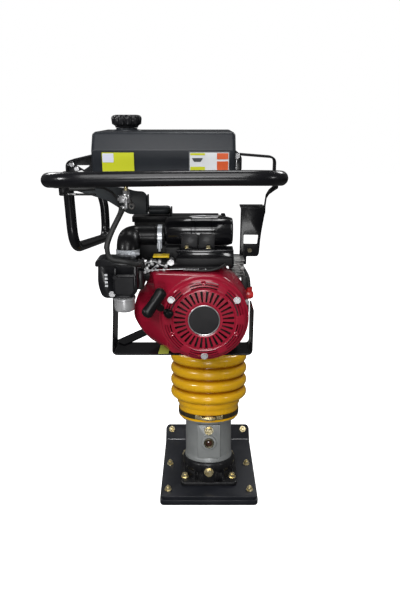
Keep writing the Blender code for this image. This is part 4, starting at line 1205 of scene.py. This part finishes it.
def build_handle():
    """The looped tube, dipped a little at its left front corner, and the side loop under its left rail."""
    low, high = box_of("handle_loop")
    r = HANDLE_RADIUS
    left, right = low.x + r, high.x - r
    near, far = low.y + r, high.y - r
    zn, zf = high.z - r, low.z + r
    dip = 4
    loop = [(-26, near, zn), (right, near, zn), (right, far, zf), (left, far, zf), (left, near, zn - dip)]
    pipe(loop, r, HANDLE_BEND, 20, 48, True)
    place("handle_tube_loop", "gloss_black", "handle_loop", smooth=60)
    slope = (zf - zn) / (far - near)

    def rail(y):
        return zn + slope * (y - near)

    def left_rail(y):
        return rail(y) - dip * (far - y) / (far - near)

    pipe([(left, -250, left_rail(-250) - 8), (left + 6, -262, 794), (left + 26, 50, 752),
            (left + 26, 47, 850), (left + 8, 45, left_rail(45) - 8)], 11.6, 50, 14, 36)
    place("side_loop_tube", "gloss_black", "side_loop", smooth=60)
    for x, y in ((left, -250), (left + 6, 45)):
        for i in range(28):
            a = math.tau * i / 28
            dx, dy = polar(12.2, a)
            c = (x + dx, y + dy, left_rail(y) - 12.6 + 4.5 * math.cos(a) ** 2)
            lathe([(0, -1.5), (1.3, -0.8), (1.7, 0), (1.3, 0.8), (0, 1.5)], at(c, (*polar(1, a + 1.57), 0)),
                    10)
    place("side_loop_weld_beads", "gloss_black")
    return rail


def build_plates(rail):
    """The flat bar bridges that carry the tank between the side tubes of the handle."""
    tank_low, tank_high = box_of("fuel_tank")
    y = -252
    loop_low, loop_high = box_of("handle_loop")
    left, right = loop_low.x + HANDLE_RADIUS, loop_high.x - HANDLE_RADIUS
    foot = rail(y) + 13
    strap([(tank_high.x + 2, y, 997.5), (right + 7, y, 990.5), (right + 7, y, foot)], 30, 4, 12)
    box((right - 4, y - 17, foot - 3), (right + 13.5, y + 17, foot + 2), 1.2, 2)
    place("tank_strap_right_bar", "gloss_black", "tank_strap_right")
    strap([(tank_low.x - 2, y, 998.5), (left + 3.5, y, 981.5), (left + 3.5, y, foot)], 30, 4, 12)
    box((left - 10, y - 17, foot - 3), (left + 12, y + 17, foot + 2), 1.2, 2)
    web = [(left + 4, foot), (tank_low.x + 1, foot), (tank_low.x + 1, 997.5), (left + 6, 980.5)]
    prism(web, y - 1.5, y + 1.5, 0)
    bridge = place("tank_strap_left_bar", "gloss_black", "tank_strap_left")
    for hole in ([(-290, 973.5), (-261.5, 973.5), (-264, 970.5), (-274.5, 964)],
            [(-288.5, 960.5), (-279, 963), (-270, 956.5), (-283, 956.5)]):
        prism(hole, y - 20, y + 20, 0)
    cut_away(bridge)
    bolt((left + 12, y - 2, 975.5), FRONT, 8, 5)
    bolt((left + 22.5, y - 2, 966), FRONT, 7, 5)
    place("tank_strap_left_bolts", "bright_steel")


def build_brackets(rail):
    outline = [(71.5, 865), (129.5, 865), (130.5, 858), (121.5, 800), (118.5, 752), (114.5, 745.5),
            (88, 745.5), (88, 725), (70.5, 725)]
    soft = [4, 2, 4, 20, 6, 8, 2, 2, 2]
    prism(rounded(outline, soft, 5), -142, -138.5, 0.9)
    prism(rounded(corners(71.5, 861.6, 129, 865), 1, 2), -138.5, -88, 0.7)
    plate = place("bracket_right_plate", "gloss_black", "bracket_right")
    prism(rounded([(80, 777), (113, 776.5), (115, 799), (80, 799.5)], 2, 4), -160, -120, 0)
    cut_away(plate)
    arm = [(-142, 850), (-110, 850), (-110, 864), (-135, 872), (-160, 899), (-212, 917),
            (-290, rail(-290) - 13), (-345, rail(-345) - 13), (-345, 936), (-288.5, 924), (-200, 903.5),
            (-158, 889), (-142, 868)]
    prism(rounded(arm, 3, 4), 127, 130.5, 0.8, plane="YZ")
    strap([(80, -114.5, 738), (80, -114.5, 722), (64.8, -114.5, 700), (64.8, -114.5, 640)], 48, 4, 8)
    place("bracket_right_arm", "gloss_black")
    bolt((95.5, -142.4, 761), FRONT, 8, 4)
    bolt((67, -114, 672), RIGHT, 13, 7)
    place("bracket_right_bolts", "band_bronze")
    low = rail(-138) - 14.8
    outline = [(-318, low), (-262, low), (-205, 912), (-180, 904.5), (-160, 903.5), (-152, 896),
            (-151.5, 849), (-196, 849), (-248, 882.6), (-318, low - 12)]
    prism(rounded(outline, [3, 10, 10, 10, 6, 5, 2, 8, 10, 3], 5), -142, -138.5, 0.9)
    box((-155.5, -142, 849), (-151.8, -85, 890), 1, 2)
    place("bracket_left_plate", "plate_grey", "bracket_left")
    low, high = box_of("shock_mount")
    c = (low + high) / 2
    r = (high.z - low.z) / 2
    n = high.x - low.x
    lathe([(0, 3), (r, 3), (r, 6), (r * 0.98, n * 0.3), (r * 0.97, n * 0.5), (r * 0.98, n * 0.7), (r, n - 6),
            (r * 0.9, n - 3), (0, n - 3)], at((low.x, c.y, c.z), RIGHT), 56)
    place("shock_mount_rubber", "plate_grey", "shock_mount", smooth=50)
    rod((low.x, c.y, c.z), (low.x + 3, c.y, c.z), r, 0.6, 56)
    rod((high.x - 3.5, c.y, c.z), (high.x, c.y, c.z), r * 0.85, 1.5, 56)
    bolt((low.x - 4.4, c.y, c.z), LEFT, 12, 7)
    place("shock_mount_ends", "dark_steel")
    box((-190, -135, 838.5), (20, -85, 842.5), 1.2, 2)
    box((-98.3, -135, 841), (-94.5, -85, 860), 1.2, 2)
    box((-190, -136.5, 829), (-104, -133.5, 842.5), 1, 2)
    place("head_bracket_plate", "satin_black", "head_bracket")
    # A black block under the bracket shelf that fills the dark gap below it: partly bracket, partly painted shade.
    box((-186, -132, 790), (-80, -100, 838), 6, 3)
    place("head_bracket_web_and_shade", "black_rubber")


def build_guard():
    y = -241
    strap([(-221.5, y, 692), (-223.5, y, 640), (-230, y, 543), (95.2, y, 543), (95.2, y, 652)], 72, 3.6, 12,
            8)
    strap([(-222.5, -215, 545.5), (-160, -140, 549.5), (-60, -100, 553.8)], 36, 3.4, 20)
    place("engine_guard_bar", "gloss_black", "engine_guard", smooth=40)
    # An olive patch lying on top of the guard bar's lower run.
    prism(rounded([(-124, -276.5), (-100, -276.5), (-96, -206), (-120, -206)], 2, 3), 544.7, 545.6, 0.1, 1,
            plane="XY")
    place("guard_small_patch", "olive_patch", smooth=40)


def build_throttle():
    low, high = box_of("throttle_perch")
    px, py = (low.x + high.x) / 2, (low.y + high.y) / 2
    top = high.z
    rod((px, py, low.z), (px, py, top + 3), 8.8, 1.5, 40)
    tube = box_of("handle_loop")[0].x + HANDLE_RADIUS
    z = top + HANDLE_RADIUS - 2.2
    ring((tube, py - 9, z + 1), (tube, py + 9, z - 1), 13.9, 15.8, 0.8, 64)
    place("throttle_perch_body", "satin_black", "throttle_perch")
    low, high = box_of("throttle_lever")
    lathe([(0, 0), (8.8, 0), (8.8, 3), (7, 4.2), (0, 4.2)], at((px, py, high.z), DOWN), 36)
    arm = rounded([(px, py - 6), (px + 58, py - 5), (px + 65, py - 6), (px + 65, py + 6), (px + 58, py + 5),
            (px, py + 6)], 3, 5)
    prism(arm, low.z + 0.2, low.z + 3.4, 0.8, plane="XY")
    place("throttle_lever_arm", "satin_black", "throttle_lever", body="throttle")
    box((px + 10, py - 6.8, low.z + 2.2), (px + 26, py + 6.8, high.z - 0.1), 1, 2)
    place("throttle_lever_clip", "satin_steel", body="throttle")
    pipe([(px + 8, py + 12, top - 6), (-270, -325, 940), (-215, -296, 930), (-190, -290, 893),
            (-216.5, -314, 842), (-226.5, -331.5, 812), (-229, -270, 790), (-229, -264, 745),
            (-217.2, -262, 742)], 2.6, 30, 10, 18)
    pipe([(px + 10, py + 10, 933.5), (px + 40, py + 16, 933), (px + 60, py + 22, 933.5)], 4.2, 10, 6, 18)
    place("throttle_cable_sheath", "black_rubber", "throttle_cable", smooth=60)


# ---------------------------------------------------------------- stage

def build_stage():
    bmesh.ops.create_grid(BENCH, x_segments=8, y_segments=8, size=9.0 / MM)
    mesh = take_mesh("floor")
    mesh.materials.append(LOOK["pale_floor"])
    floor = add_object("floor", mesh)
    floor.location = (0, 0, -0.0006)
    light_floor(LOOK["pale_floor"].node_tree)
    light_world()
    light_lamps()


def light_floor(tree):
    """Shows the floor white to the camera and darker to the object."""
    inputs = tree.nodes["Principled BSDF"].inputs
    inputs["Specular IOR Level"].default_value = 0.0
    inputs["Emission Color"].default_value = WHITE
    seen = add_node(tree, "LightPath").outputs["Is Camera Ray"]
    glow = add_node(tree, "Math", {1: 1.0}, {0: seen}, operation="MULTIPLY").outputs["Value"]
    tree.links.new(glow, inputs["Emission Strength"])
    ground = blend_colours(tree, seen, {"A": (0.1, 0.1, 0.1, 1.0), "B": (0.8, 0.8, 0.8, 1.0)})
    tree.links.new(ground, inputs["Base Color"])


def light_world():
    """A white backdrop that lights the object only a little."""
    world = bpy.data.worlds.new("studio")
    bpy.context.scene.world = world
    world.use_nodes = True
    tree = world.node_tree
    seen = add_node(tree, "LightPath").outputs["Is Camera Ray"]
    level = add_node(tree, "MapRange", {"To Min": 0.08, "To Max": 1.0}, {"Value": seen})
    back = tree.nodes["Background"]
    back.inputs["Color"].default_value = WHITE
    tree.links.new(level.outputs["Result"], back.inputs["Strength"])


def light_lamps():
    lights = (("main", (-0.15, -1.5, 2.5), 1.3, 37.0), ("front", (-0.15, -2.4, 1.85), 0.7, 26.0),
            ("front_low", (-0.1, -2.6, 0.42), 0.5, 12.0), ("key", (-1.6, -1.3, 1.5), 0.3, 20.0),
            ("fill", (1.7, -1.1, 1.2), 0.3, 5.0), ("back", (0.1, 0.6, 2.8), 0.7, 12.0),
            ("rim_left", (-1.5, 1.5, 2.2), 0.6, 16.0), ("rim_right", (1.5, 1.5, 2.2), 0.6, 16.0), )
    for name, spot, size, power in lights:
        data = bpy.data.lights.new(name, "AREA")
        data.shape = "SQUARE"
        data.size = size
        data.energy = power
        lamp = add_object(name, data)
        lamp.location = spot
        aim = Vector((0.0, -0.1, 0.55)) - Vector(spot)
        lamp.rotation_euler = aim.to_track_quat("-Z", "Y").to_euler()


def build_camera():
    data = bpy.data.cameras.new("camera")
    camera = add_object("camera", data)
    camera.location = (-0.026, -1.472, 1.079)
    camera.rotation_euler = (math.radians(71.5), 0.0, 0.0)
    data.lens = 36.0 * 557.0 / 599.0
    data.sensor_width = 36.0
    bpy.context.scene.camera = camera
    bpy.context.scene.view_settings.view_transform = "Standard"


dress_frame()
build_shoe()
build_foot()
build_leg()
build_bellows()
build_recoil()
build_fan_housing()
build_starter_grip()
build_engine()
build_crankcase()
build_carburettor()
build_linkage()
build_air_cleaner()
build_canister_mount()
build_spark()
build_tank()
build_labels()
build_fuel_line()
RAIL = build_handle()
build_plates(RAIL)
build_brackets(RAIL)
build_guard()
build_throttle()
build_stage()
build_camera()
